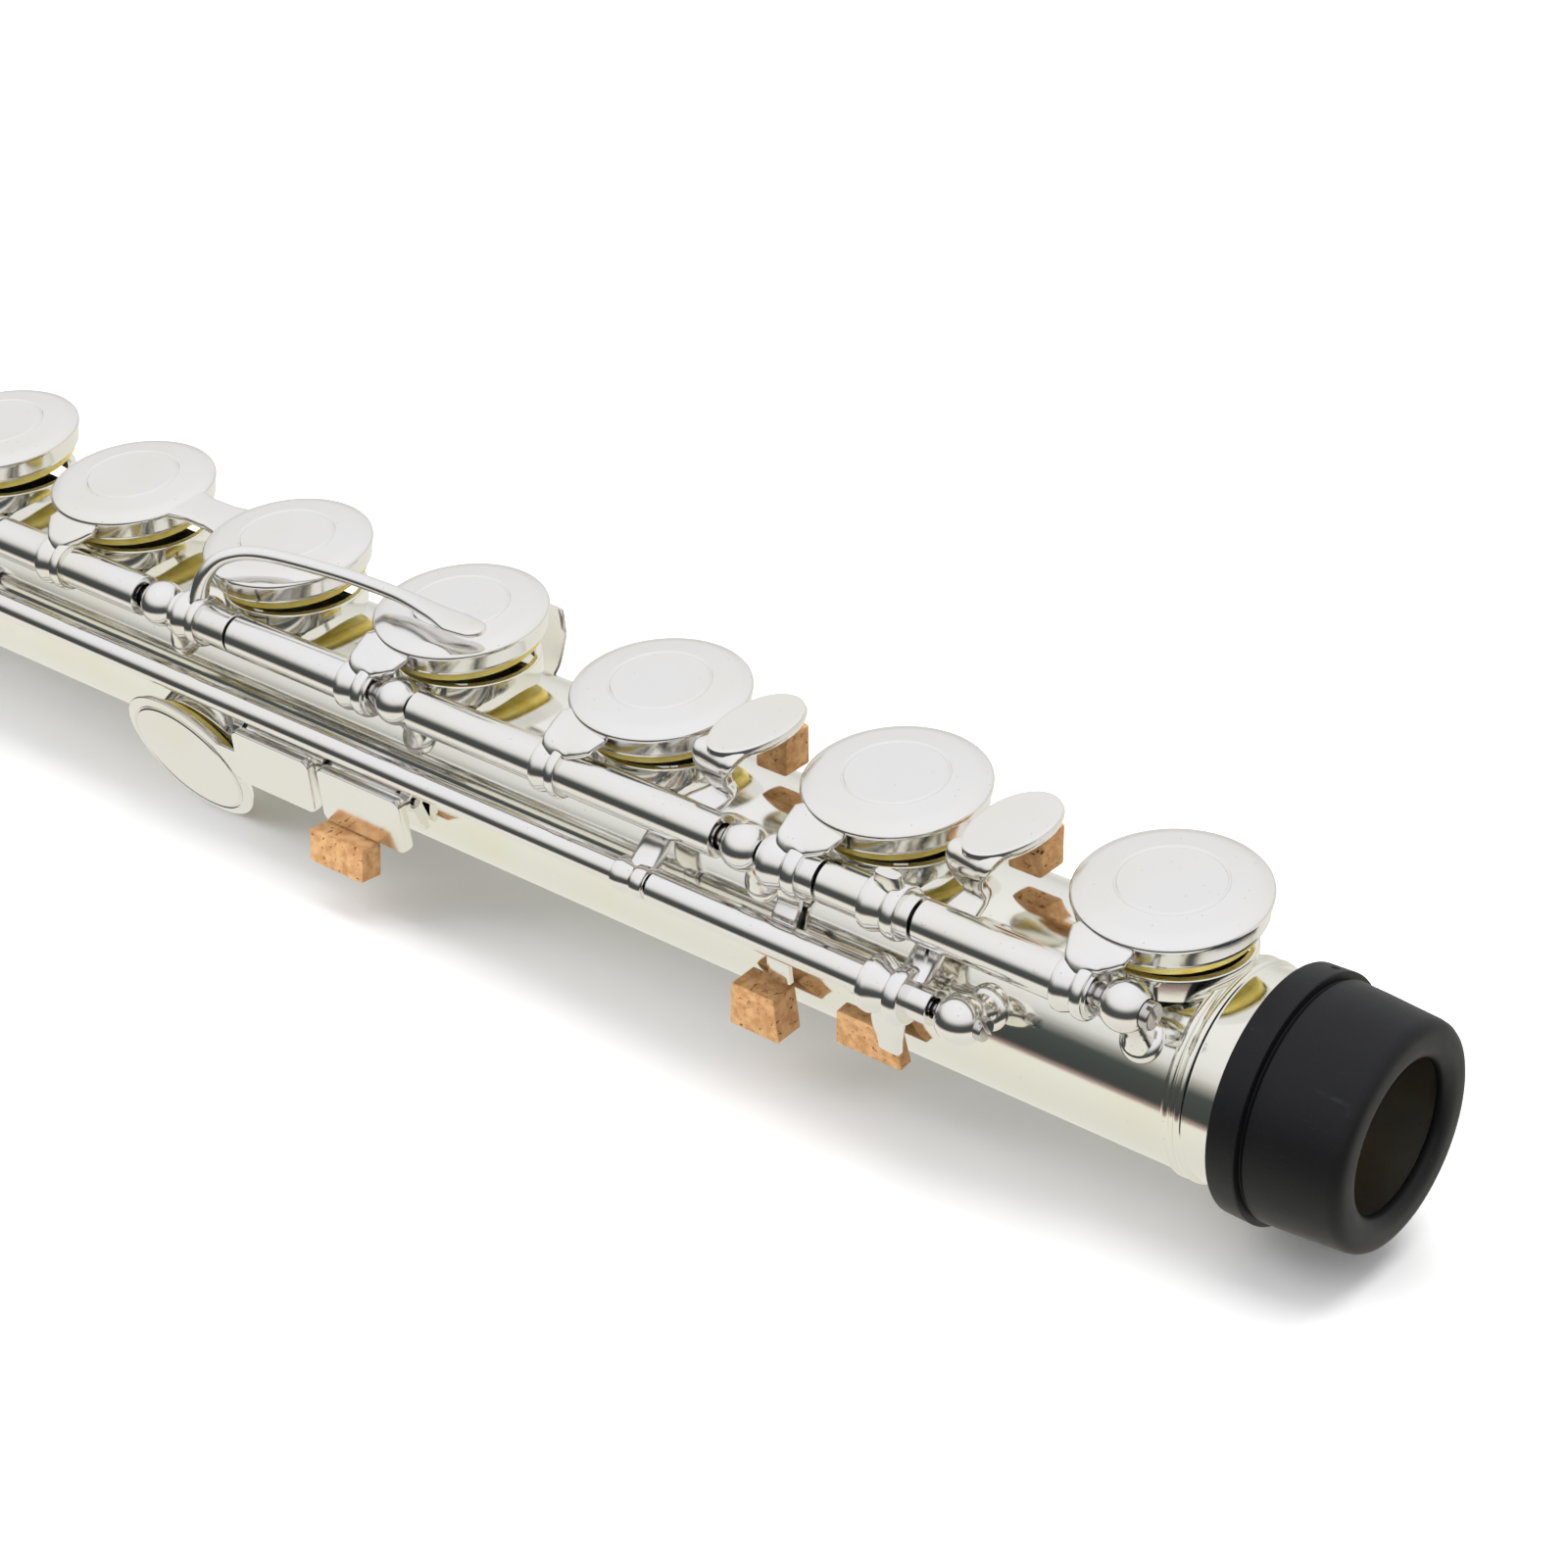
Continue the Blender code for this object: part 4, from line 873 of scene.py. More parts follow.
def low_cup(node: str, angle: float) -> Cup:
    """Flat cup on the underside of the tube."""
    return Cup(space.station(node), angle, chimney=6.0 * MM, rise=0.9 * MM, pad_radius=6.6 * MM,
               thickness=1.0 * MM, wall=1.4 * MM, skirt=0.3 * MM, crown=0.9 * MM, disc_share=0.84)


def small_cup(node: str, angle: float = 0.0) -> Cup:
    """Small cup over a vent hole."""
    return Cup(space.station(node), angle, chimney=4.3 * MM, pad_radius=4.3 * MM)


TRILL_CUP_ANGLE = math.radians(105.0)
LOW_CUP_ANGLE = math.radians(117.0)

cups = {name: Cup(space.station(name + "_pad"))
        for name in ("d", "e", "f", "f_sharp", "lower_g", "upper_g", "b_flat", "a", "c")}
cups["c_sharp"] = small_cup("c_sharp_pad")
cups["d_trill"] = small_cup("d_trill_pad", TRILL_CUP_ANGLE)
cups["d_sharp_trill"] = small_cup("d_sharp_trill_pad", TRILL_CUP_ANGLE)
cups["thumb"] = low_cup("thumb_b_pad", LOW_CUP_ANGLE)
cups["g_sharp"] = low_cup("g_sharp_pad", -LOW_CUP_ANGLE)


def sleeve(shape: Shape, low_x: float, high_x: float, centre: Point, outer: float, inner: float,
           ease: float = 0.12 * MM) -> None:
    """Add a hollow hinge tube with eased ends to a shape.

    Args:
        shape: Shape that takes it.
        low_x: Its head end.
        high_x: Its foot end.
        centre: Point (y, z) of its axis.
        outer: Outer radius.
        inner: Inner radius.
        ease: Rounding of the ends' edges.
    """
    middle = (low_x + high_x) / 2.0
    shape.along_x([(middle, outer), (high_x, outer, ease), (high_x, inner), (low_x, inner),
                   (low_x, outer, ease), (middle, outer)], centre, 40)


def collar(shape: Shape, low_x: float, high_x: float, centre: Point, radius: float, neck: float) -> None:
    """Add a ring with a flared neck beside it to a shape.

    Args:
        shape: Shape that takes it.
        low_x: Head end of the neck.
        high_x: Foot end of the ring.
        centre: Point (y, z) of its axis.
        radius: Radius of the ring and of the flare.
        neck: Radius of the neck between them.
    """
    ring = (high_x - low_x) * 0.34
    shape.along_x([(low_x, neck - 0.3 * MM), (low_x, radius * 0.97, 0.12 * MM),
                   (low_x + ring * 0.5, radius, 0.2 * MM), (high_x - ring * 1.2, neck, 0.5 * MM),
                   (high_x - ring, radius * 0.98, 0.3 * MM), (high_x - ring * 0.4, radius, 0.3 * MM),
                   (high_x, radius * 0.93, 0.2 * MM), (high_x, neck - 0.3 * MM)], centre, 40)


# ---------------------------------------------------------------------------------------------------
# Tube, barrel, head joint and cap
# ---------------------------------------------------------------------------------------------------

@dataclass
class BodyTube:
    """The body tube with its ring beads, chimneys and tone holes."""

    bead_x: float = 7.0 * MM
    bead_spacing: float = 1.2 * MM
    bead_width: float = 0.9 * MM
    bead_height: float = 0.35 * MM

    def build(self) -> bpy.types.Object:
        """Build the tube: wall, beads and chimneys, then the tone holes and the bore.

        Returns:
            The tube.
        """
        low, high = space.ends("body_tube")
        inner = TUBE_RADIUS - TUBE_WALL
        profile = [(high, 0.0), (high, TUBE_RADIUS, 0.15 * MM)]
        for side in (1.0, -1.0):
            middle, half = self.bead_x + side * self.bead_spacing / 2.0, self.bead_width / 2.0
            profile += [(middle + half, TUBE_RADIUS, 0.1 * MM),
                        (middle + half * 0.5, TUBE_RADIUS + self.bead_height, 0.2 * MM),
                        (middle - half * 0.5, TUBE_RADIUS + self.bead_height, 0.2 * MM),
                        (middle - half, TUBE_RADIUS, 0.1 * MM)]
        profile += [(low, TUBE_RADIUS), (low, 0.0)]
        tube = Shape().along_x(profile, sides=120).object("body_tube_plated")
        chimneys, holes = Shape(), Shape()
        for cup in cups.values():
            matrix = around(cup.angle, cup.x)
            root, bore = TUBE_RADIUS * 0.9, cup.chimney - cup.chimney_wall
            chimneys.turned([(0.0, cup.chimney_top), (cup.chimney, cup.chimney_top, 0.25 * MM),
                             (cup.chimney, root), (0.0, root)], matrix, 56)
            holes.turned([(0.0, cup.chimney_top + GAP), (bore, cup.chimney_top + GAP),
                          (bore, TUBE_RADIUS / 2.0), (0.0, TUBE_RADIUS / 2.0)], matrix, 56)
        cut(tube, chimneys.object("chimneys"), "UNION")
        cut(tube, holes.object("tone_holes"))
        cut(tube, Shape().along_x([(high + GAP, 0.0), (high + GAP, inner), (low - GAP, inner),
                                   (low - GAP, 0.0)], sides=120).object("bore"))
        self.smooth(tube)
        return tube

    @staticmethod
    def smooth(tube: bpy.types.Object) -> None:
        """Finish the tube, with its inside darker as painted shade, and point the normals of its long round faces
        straight out so they shine evenly.

        Args:
            tube: The tube.
        """
        data = tube.data
        data.materials.clear()
        data.materials.append(Finish.TUBE.material())
        # Second material, for the faces inside the tube: the darker bore, painted shade inside the tube.
        data.materials.append(Finish.BORE.material())
        centre = space.origin.yz
        normals = [corner.vector.copy() for corner in data.corner_normals]
        for polygon in data.polygons:
            outward = [data.vertices[index].co.yz - centre for index in polygon.vertices]
            lengths = [spoke.length for spoke in outward]
            outside = polygon.normal.yz.dot(polygon.center.yz - centre) > 0.0
            wanted = TUBE_RADIUS if outside else TUBE_RADIUS - TUBE_WALL
            if abs(polygon.normal.x) > 0.05 or max(abs(length - wanted) for length in lengths) > 0.03 * MM:
                continue
            side = 1.0 if outside else -1.0
            polygon.material_index = 0 if outside else 1
            for loop, spoke in zip(polygon.loop_indices, outward):
                normals[loop] = Vector((0.0, *(spoke.normalized() * side)))
        data.normals_split_custom_set(normals)

    def dress(self) -> None:
        """Plate the tube and hang it on the body joint."""
        tube = self.build()
        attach(tube, "body_joint")
        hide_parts("body_tube")
        log.info("body tube, %d corners", len(tube.data.vertices))


@dataclass
class Barrel:
    """The socket sleeve between the body and the head joint, with a turned ring at each end."""

    wall: float = 0.8 * MM
    ring_height: float = 0.4 * MM
    ring_width: float = 1.6 * MM

    def dress(self) -> None:
        """Build the barrel and plate it."""
        low, high = space.ends("barrel")
        inner = TUBE_RADIUS + GAP
        outer = inner + self.wall
        ring, width = outer + self.ring_height, self.ring_width
        shape = Shape().along_x([
            ((low + high) / 2.0, outer), (high - width - 0.5 * MM, outer, 0.3 * MM),
            (high - width, ring, 0.3 * MM), (high, ring, 0.4 * MM), (high, inner, 0.1 * MM),
            (low, inner, 0.1 * MM), (low, ring, 0.4 * MM), (low + width, ring, 0.3 * MM),
            (low + width + 0.5 * MM, outer, 0.3 * MM), ((low + high) / 2.0, outer)], sides=96)
        place(shape.object("barrel_plated"), "body_joint", Finish.TUBE, "barrel")
        log.info("barrel")


@dataclass
class HeadJoint:
    """The tapered head tube with its lip plate, and the crown and stopper at its end."""

    crown_radius: float = 9.05 * MM
    straight: float = 50.0 * MM
    hole: tuple = (12.2 * MM, 10.4 * MM)
    plate: tuple = (44.0 * MM, 27.0 * MM)
    plate_radius: float = 15.2 * MM
    plate_drop: float = 1.0 * MM
    plate_thickness: float = 1.0 * MM
    riser_wall: float = 1.2 * MM
    cap_radius: float = 9.7 * MM
    cap_groove: float = 0.6 * MM
    turns: int = 72
    mouth_x: float = field(default_factory=lambda: space.station("lip_plate"))

    def radius_at(self, x: float) -> float:
        """Outer radius of the head tube at a station."""
        low, high = space.ends("head_tube")
        share = min(max((high - self.straight - x) / (high - self.straight - low), 0.0), 1.0)
        return TUBE_RADIUS + (self.crown_radius - TUBE_RADIUS) * share

    def dress_tube(self) -> None:
        """Build the head tube, open at the mouth hole, and plate it."""
        low, high = space.ends("head_tube")
        taper = high - self.straight
        shape = Shape().along_x([
            (taper, TUBE_RADIUS), (high, TUBE_RADIUS, 0.15 * MM), (high, TUBE_RADIUS - TUBE_WALL),
            (taper, TUBE_RADIUS - TUBE_WALL), (low, self.crown_radius - TUBE_WALL),
            (low, self.crown_radius), (taper, TUBE_RADIUS)], sides=96)
        tube = shape.object("head_tube_plated")
        matrix = Matrix.Translation((self.mouth_x, 0.0, TUBE_RADIUS))
        outline = ellipse(self.hole[0] / 2.0, self.hole[1] / 2.0)
        cut(tube, Shape().slab(outline, TUBE_RADIUS, matrix, 0.02 * MM).object("mouth_hole"))
        place(tube, "head_joint", Finish.TUBE, "head_tube")
        log.info("head tube")

    def plate_height(self, y: float, radius: float) -> float:
        """Height of a surface of the lip plate at a distance from its middle line."""
        return math.sqrt(max(radius ** 2 - y ** 2, 0.0)) - self.plate_drop

    def ring(self, grow: float, share: float, radius: float, lift: float = 0.0) -> list[Vector]:
        """Ring of points round the mouth hole, on a surface of the lip plate.

        Args:
            grow: How far it stands outside the hole.
            share: How far it lies from the hole to the edge of the plate, from 0 to 1.
            radius: Radius of the surface.
            lift: Height above the surface.

        Returns:
            The points.
        """
        points = []
        for index in range(self.turns):
            turn = 2.0 * math.pi * index / self.turns
            near = Vector(((self.hole[0] / 2.0 + grow) * math.cos(turn),
                           (self.hole[1] / 2.0 + grow) * math.sin(turn)))
            far = Vector((self.plate[0] / 2.0 * math.cos(turn), self.plate[1] / 2.0 * math.sin(turn)))
            spot = near.lerp(far, share)
            points.append(Vector((self.mouth_x + spot.x, spot.y, self.plate_height(spot.y, radius) + lift)))
        return points

    def dress_lip_plate(self) -> None:
        """Build the lip plate on its riser, with a crisp blowing edge, and plate it."""
        top, under = self.plate_radius, self.plate_radius - self.plate_thickness
        ease = 0.3 * MM
        rings = [self.ring(0.0, 0.0, top, -ease), self.ring(ease * 0.3, 0.0, top, -ease * 0.3),
                 self.ring(ease, 0.0, top)]
        rings += [self.ring(ease, step / 10.0, top) for step in range(1, 10)]
        rings += [self.ring(0.0, 0.985, top, -0.04 * MM), self.ring(0.0, 1.0, top, -0.25 * MM),
                  self.ring(0.0, 1.0, under, 0.25 * MM), self.ring(0.0, 0.985, under, 0.04 * MM)]
        rings += [self.ring(self.riser_wall, step / 8.0, under) for step in range(7, 0, -1)]
        rings.append(self.ring(self.riser_wall, 0.0, under, -0.2 * MM))
        for grow in (self.riser_wall, 0.0):
            foot = self.ring(grow, 0.0, under)
            for point in foot:
                point.z = math.sqrt(self.radius_at(point.x) ** 2 - point.y ** 2)
            rings.append(foot)
        shape = Shape().skin(rings, joined=True)
        place(shape.object("lip_plate_plated"), "head_joint", Finish.TUBE, "lip_plate")
        log.info("lip plate")

    def dress_crown(self) -> None:
        """Build the domed crown with a turned groove, and plate it."""
        low, high = space.ends("crown")
        radius, groove = self.cap_radius, self.cap_radius - self.cap_groove
        shape = Shape().along_x([
            (high, 0.0), (high, radius, 0.3 * MM), (high - 1.9 * MM, radius, 0.3 * MM),
            (high - 2.2 * MM, groove, 0.15 * MM), (high - 2.7 * MM, groove, 0.15 * MM),
            (high - 3.0 * MM, radius - 0.1 * MM, 0.3 * MM), (low + 2.6 * MM, radius - 0.5 * MM, 1.6 * MM),
            (low + 0.5 * MM, radius - 3.2 * MM, 1.6 * MM), (low, radius * 0.42, 0.8 * MM),
            (low, 0.0)], sides=96)
        place(shape.object("crown_plated"), "crown_cap", Finish.TUBE, "crown")
        log.info("crown")

    def dress(self) -> None:
        """Build all of the head joint."""
        self.dress_tube()
        self.dress_lip_plate()
        self.dress_crown()
        keep_cad(Finish.STEEL, "stopper_rod")
        keep_cad(Finish.CORK, "head_cork")


@dataclass
class ProtectorCap:
    """The moulded cap over the foot tenon: a flange, a plain wall and a thick rolled rim."""

    wall: float = 0.7 * MM
    flange_length: float = 2.9 * MM
    flange_height: float = 0.65 * MM
    hole_radius: float = 7.1 * MM
    end_wall: float = 1.4 * MM
    rim_round: float = 1.5 * MM
    rim_draft: float = 0.45 * MM
    hole_flare: float = 0.9 * MM
    groove_depth: float = 0.2 * MM
    groove_width: float = 0.3 * MM
    plain_from: float = 3.0 * MM
    nub: float = 0.35 * MM
    nub_angles: tuple = (math.radians(150.0), math.radians(-24.0))

    def dress(self) -> None:
        """Build the cap and its moulding nub, and give it its rubber."""
        low, high = space.ends("protector_cap")
        inner = TUBE_RADIUS + GAP
        outer = inner + self.wall
        flange = outer + self.flange_height
        step = low + self.flange_length
        hole, seat_x, plain = self.hole_radius, high - self.end_wall, step + self.plain_from
        neck = outer - self.groove_depth
        shape = Shape().along_x([
            (plain, outer), (high, outer - self.rim_draft, self.rim_round),
            (high + 0.02 * MM, hole + self.hole_flare, 0.8 * MM), (high - 0.5 * MM, hole, 0.8 * MM),
            (seat_x, hole, 0.3 * MM), (seat_x, inner, 0.2 * MM), (low, inner, 0.2 * MM),
            (low, flange - 0.1 * MM, 0.25 * MM), (step, flange, 0.16 * MM),
            (step + 0.02 * MM, neck, 0.1 * MM), (step + self.groove_width, neck, 0.1 * MM),
            (step + self.groove_width * 1.5, outer + 0.12 * MM, 0.2 * MM), (plain, outer)], sides=128)
        for angle in self.nub_angles:
            seat = around(angle, step - 1.0 * MM)
            shape.turned([(0.0, flange + self.nub * 0.4), (self.nub * 1.4, flange, 0.2 * MM),
                          (self.nub * 1.6, flange - 0.3 * MM), (0.0, flange - 0.3 * MM)], seat, 16)
        place(shape.object("protector_cap_moulded"), "cap", Finish.RUBBER, "protector_cap")
        log.info("protector cap")


# ---------------------------------------------------------------------------------------------------
# Posts and steels
# ---------------------------------------------------------------------------------------------------

@dataclass
class Posts:
    """Ball posts of the main and the trill rod, each on a stem and a domed foot."""

    radius: float = 2.35 * MM
    stem: float = 1.15 * MM
    foot: float = 2.15 * MM
    foot_height: float = 0.8 * MM
    main_foot_angle: float = math.radians(55.0)
    trill_foot_angle: float = math.radians(71.0)
    main_bore: float = 1.32 * MM
    middle_trill_bore: float = 1.7 * MM
    arc_steps: int = 24

    def build(self, name: str, x: float, centre: Vector, foot_angle: float, bore: float) -> bpy.types.Object:
        """Build one post.

        Args:
            name: Name of the post.
            x: Its station.
            centre: Point (y, z) of its ball.
            foot_angle: Angle of its foot round the tube.
            bore: Radius of the hole through the ball.

        Returns:
            The post.
        """
        shape = Shape()
        reach = math.sqrt(self.radius ** 2 - bore ** 2)
        face = math.asin(bore / self.radius)
        arc = []
        for index in range(self.arc_steps + 1):
            turn = face + (math.pi - 2.0 * face) * index / self.arc_steps
            arc.append((x + self.radius * math.cos(turn), self.radius * math.sin(turn)))
        shape.along_x([(x, bore), (x + reach, bore)] + arc + [(x - reach, bore), (x, bore)], centre, 48)
        foot = ring_point(math.degrees(foot_angle), TUBE_RADIUS)
        start = centre + (foot - centre).normalized() * self.radius * 0.82
        width = self.stem * 2.0
        shape.swept([section(x, start, width * 1.15, width * 1.15, 2.0),
                     section(x, start.lerp(foot, 0.5), width, width, 2.0),
                     section(x, foot, width * 1.5, width * 1.5, 2.0)], steps=4)
        top = TUBE_RADIUS + self.foot_height
        shape.turned([(0.0, top), (self.stem, top, 0.2 * MM), (self.foot * 0.86, top - 0.25 * MM, 0.4 * MM),
                      (self.foot, TUBE_RADIUS + 0.1 * MM, 0.3 * MM), (self.foot, TUBE_RADIUS - 0.35 * MM),
                      (0.0, TUBE_RADIUS - 0.35 * MM)], around(foot_angle, x), 36)
        return shape.object(name + "_turned")

    def dress(self) -> None:
        """Build every post and plate it."""
        for index in range(1, 7):
            name = f"main_post_{index}"
            made = self.build(name, space.station(name), main_rod, self.main_foot_angle, self.main_bore)
            place(made, "body_joint", Finish.SILVER, name)
        for index in range(1, 4):
            name = f"trill_post_{index}"
            bore = self.middle_trill_bore if index == 2 else TRILL_INNER
            made = self.build(name, space.station(name), trill_rod, self.trill_foot_angle, bore)
            place(made, "body_joint", Finish.SILVER, name)
        log.info("nine ball posts")


@dataclass
class Steels:
    """Hinge steels, with a slotted screw head at the foot end of the two long ones."""

    slot_width: float = 0.42 * MM
    slot_depth: float = 0.45 * MM
    slot_turn: float = math.radians(28.0)
    main: tuple = (1.0 * MM, 1.25 * MM)
    trill: tuple = (0.6 * MM, 1.1 * MM)

    def screw_ended(self, node: str, centre: Vector, radius: float, head: float) -> bpy.types.Object:
        """Build a long steel with a slotted head.

        Args:
            node: CAD node that it stands for.
            centre: Point (y, z) of its axis.
            radius: Its radius.
            head: Radius of its screw head.

        Returns:
            The steel.
        """
        low, high = space.ends(node)
        shape = Shape().along_x([(high, 0.0), (high, head, 0.2 * MM), (high - 0.9 * MM, head, 0.1 * MM),
                                 (high - 1.0 * MM, radius), (low, radius, 0.15 * MM), (low, 0.0)], centre, 32)
        steel = shape.object(node + "_polished")
        matrix = (Matrix.Translation((high, *centre)) @ Matrix.Rotation(self.slot_turn, 4, "X"))
        slot = rounded_box(self.slot_depth * 2.0, self.slot_width, 0.05 * MM)
        cut(steel, Shape().slab(slot, head * 3.0, matrix, 0.01 * MM).object("slot"))
        return steel

    def dress(self) -> None:
        """Build the long steels and finish the hidden ones."""
        place(self.screw_ended("right_hand_steel", main_rod, *self.main), "key_f_sharp", Finish.STEEL,
              "right_hand_steel")
        place(self.screw_ended("trill_steel", trill_rod, *self.trill), "d_sharp_trill", Finish.STEEL,
              "trill_steel")
        keep_cad(Finish.STEEL, "left_hand_steel", "thumb_steel", "g_sharp_steel")
        log.info("hinge steels")


# ---------------------------------------------------------------------------------------------------
# Keys
# ---------------------------------------------------------------------------------------------------

def dress_pad(made: Shape, node: str, body: str, centre: Point = (0.0, 0.0), angle: float = 0.0) -> None:
    """Args:
        made: The pad's shape, built closed.
        node: CAD node that it stands for.
        body: Body that it moves with.
        centre: Point (y, z) of the key's axis.
        angle: How far the key rests open.
    """
    pad = turned_open(made.object(node + "_skinned"), centre, angle)
    place(pad, body, Finish.SKIN, node)


@dataclass
class MainKey:
    """A key on the main rod: hinge tube, collars, arms and cups, with its pads."""

    name: str
    tube: tuple
    collars: tuple
    cups: tuple
    arm: tuple = (2.9 * MM, 4.6 * MM, 6.6 * MM)
    pin: float = 0.22 * MM
    pin_turn: float = math.radians(52.0)
    pin_places: tuple = (1.3 * MM, 5.2 * MM)
    pinned_from: float = 15.0 * MM

    def add_arm(self, shape: Shape, cup: Cup, low_x: float, high_x: float) -> None:
        """Add the arm: a plate that stands up from its collar, bends over and fans out on the cup.

        Args:
            shape: Shape that takes it.
            cup: Cup that it carries.
            low_x: Head end of its collar.
            high_x: Foot end of its collar.
        """
        y, z = main_rod
        middle = (low_x + high_x) / 2.0
        widths = [width * (0.8 if cup.pad_radius < 5.0 * MM else 1.0) for width in self.arm]
        lean = cup.x - middle
        edge = -cup.outer
        shape.swept([
            section(middle, (y, z + 1.0 * MM), high_x - low_x - 0.4 * MM, 2.6 * MM, 3.0),
            section(middle, (y + 0.1 * MM, z + 2.2 * MM), widths[0], 1.8 * MM, 3.0),
            section(middle + lean * 0.1, (max(y + 0.6 * MM, edge - 1.4 * MM), cup.top - 2.5 * MM), widths[1],
                    1.4 * MM, 3.4),
            section(middle + lean * 0.3, (edge - 0.1 * MM, cup.top - 1.9 * MM), widths[2], 1.3 * MM, 3.6),
            section(middle + lean * 0.5, (edge + 1.4 * MM, cup.top - 1.45 * MM), widths[2] * 0.9, 1.0 * MM, 3.0)],
            sides=28, steps=8)

    def build(self) -> Shape:
        """Build the key closed, apart from its pads and what only some keys have.

        Returns:
            The key.
        """
        shape = Shape()
        sleeve(shape, *self.tube, main_rod, HINGE_OUTER, HINGE_INNER)
        for (low_x, high_x), name in zip(self.collars, self.cups):
            collar(shape, low_x, high_x, main_rod, HINGE_COLLAR, HINGE_OUTER + 0.12 * MM)
            self.add_arm(shape, cups[name], low_x, high_x)
        for name in self.cups:
            cups[name].add_cup(shape)
        low, high = self.tube
        pins = (low + self.pin_places[0], high - self.pin_places[1]) if high - low > self.pinned_from else ()
        face = HINGE_OUTER + 0.03 * MM
        for x in pins:
            seat = Matrix.Translation((x, *main_rod)) @ Matrix.Rotation(self.pin_turn, 4, "X")
            shape.turned([(0.0, face), (self.pin, face, 0.05 * MM), (self.pin * 1.3, face - 0.25 * MM),
                          (0.0, face - 0.25 * MM)], seat, 12)
        return shape

    def dress(self) -> None:
        """Build the key and its pads and hang them on their body."""
        body = "key_" + self.name
        made = turned_open(self.build().object(self.name + "_key_plated"), main_rod, OPEN_ANGLE)
        place(made, body, Finish.SILVER, self.name + "_key")
        for name in self.cups:
            dress_pad(cups[name].pad(), name + "_pad", body, main_rod, OPEN_ANGLE)
        log.info("%s key with %d pads", self.name, len(self.cups))


@dataclass
class EKey(MainKey):
    """The E key, whose stop tail and cork reach down between the trill rod and the tube."""

    tail: tuple = (-36.0 * MM, -33.4 * MM)
    tail_thickness: float = 0.8 * MM
    tail_root: tuple = (0.2 * MM, -1.6 * MM)
    tail_turns: tuple = (58.0, 70.0, 82.0, 92.0, 101.0)
    cork: tuple = (5.4 * MM, 4.7 * MM, 3.2 * MM)
    cork_gap: float = 0.9 * MM
    cork_angle: float = math.radians(116.0)
    cork_lean: float = math.radians(23.0)

    def build(self) -> Shape:
        """Build the key with its tail.

        Returns:
            The key.
        """
        shape = super().build()
        path = TUBE_RADIUS + GAP + self.tail_thickness
        close = Matrix.Rotation(-OPEN_ANGLE, 2)
        middle, width = sum(self.tail) / 2.0, abs(self.tail[1] - self.tail[0])
        stops = [main_rod + Vector(self.tail_root)]
        stops += [ring_point(degrees, path) for degrees in self.tail_turns]
        sections = [section(middle, main_rod + close @ (stop - main_rod), width, self.tail_thickness, 5.0)
                    for stop in stops]
        shape.swept(sections)
        return shape

    def dress(self) -> None:
        """Build the key, its pad and the cork on its tail."""
        super().dress()
        cork = tail_cork(self.tail[0] - 0.5 * MM, self.cork, self.cork_angle, self.cork_gap, self.cork_lean)
        place(cork.object("e_tail_cork_cut"), "key_e", Finish.CORK, "e_tail_cork")


@dataclass
class GKey(MainKey):
    """The G key, with a second cup joined to the first by a bridge."""

    bridge: tuple = (5.0 * MM, 1.2 * MM)

    def build(self) -> Shape:
        """Build the key with its bridge.

        Returns:
            The key.
        """
        shape = super().build()
        lower, upper = cups["lower_g"], cups["upper_g"]
        height = lower.roof + lower.crown * 0.42
        ends = (upper.x + upper.outer - 0.8 * MM, lower.x - lower.outer + 0.8 * MM)
        sections = [Section(Vector((ends[0] + (ends[1] - ends[0]) * share, 0.0, height)),
                            self.bridge[0] / 2.0 * width, self.bridge[1] / 2.0, 3.5)
                    for share, width in ((0.0, 1.1), (0.3, 0.9), (0.7, 0.9), (1.0, 1.1))]
        shape.swept(sections, Vector((0.0, 1.0, 0.0)))
        lower.add_cup(shape)
        return shape

    def dress(self) -> None:
        """Build the key and its two pads."""
        super().dress()
        dress_pad(cups["lower_g"].pad(), "lower_g_pad", "key_g", main_rod, OPEN_ANGLE)


def tail_cork(middle_x: float, size: tuple, angle: float, gap: float, lean: float) -> Shape:
    """Cork block beside the tube, cut a little narrower at its lower end.

    Args:
        middle_x: Its station.
        size: Length along the tube, height and thickness.
        angle: Angle of its middle round the tube.
        gap: Gap to the tube.
        lean: How much more upright its face stands than the tube there.

    Returns:
        The block.
    """
    length, height, thickness = size
    outline = []
    for x, y in rounded_box(length, height, CORK_CORNER, 3):
        outline.append((x * (1.0 - 0.08 * y / height * 2.0), y))
    reach = TUBE_RADIUS + gap + thickness / 2.0
    matrix = (around(angle, middle_x) @ Matrix.Translation((0.0, 0.0, reach))
              @ Matrix.Rotation(-lean, 4, "X"))
    return Shape().slab(outline, thickness, matrix, CORK_EDGE)


@dataclass
class AdjustingLug:
    """Clutch piece between the D and E keys, pinned to the right hand's steel."""

    tube: tuple = (-29.1 * MM, -18.9 * MM)
    collar: tuple = (-24.1 * MM, -20.2 * MM)
    reach: float = 1.0 * MM

    def dress(self) -> None:
        """Build the lug with its tab and plate it."""
        shape = Shape()
        sleeve(shape, *self.tube, main_rod, HINGE_OUTER, HINGE_INNER)
        collar(shape, *self.collar, main_rod, HINGE_COLLAR, HINGE_OUTER + 0.1 * MM)
        middle, width = sum(self.collar) / 2.0, abs(self.collar[1] - self.collar[0]) - 0.8 * MM
        y, z = main_rod
        shape.swept([section(middle, (y, z + 1.2 * MM), width, 1.6 * MM, 3.0),
                     section(middle, (y, z + 2.7 * MM), width, 1.4 * MM, 3.0),
                     section(middle, (y, z + 2.7 * MM + self.reach), width * 0.8, 1.2 * MM, 3.0)])
        made = turned_open(shape.object("adjusting_lug_plated"), main_rod, OPEN_ANGLE)
        place(made, "key_f_sharp", Finish.SILVER, "adjusting_lug")
        log.info("adjusting lug")


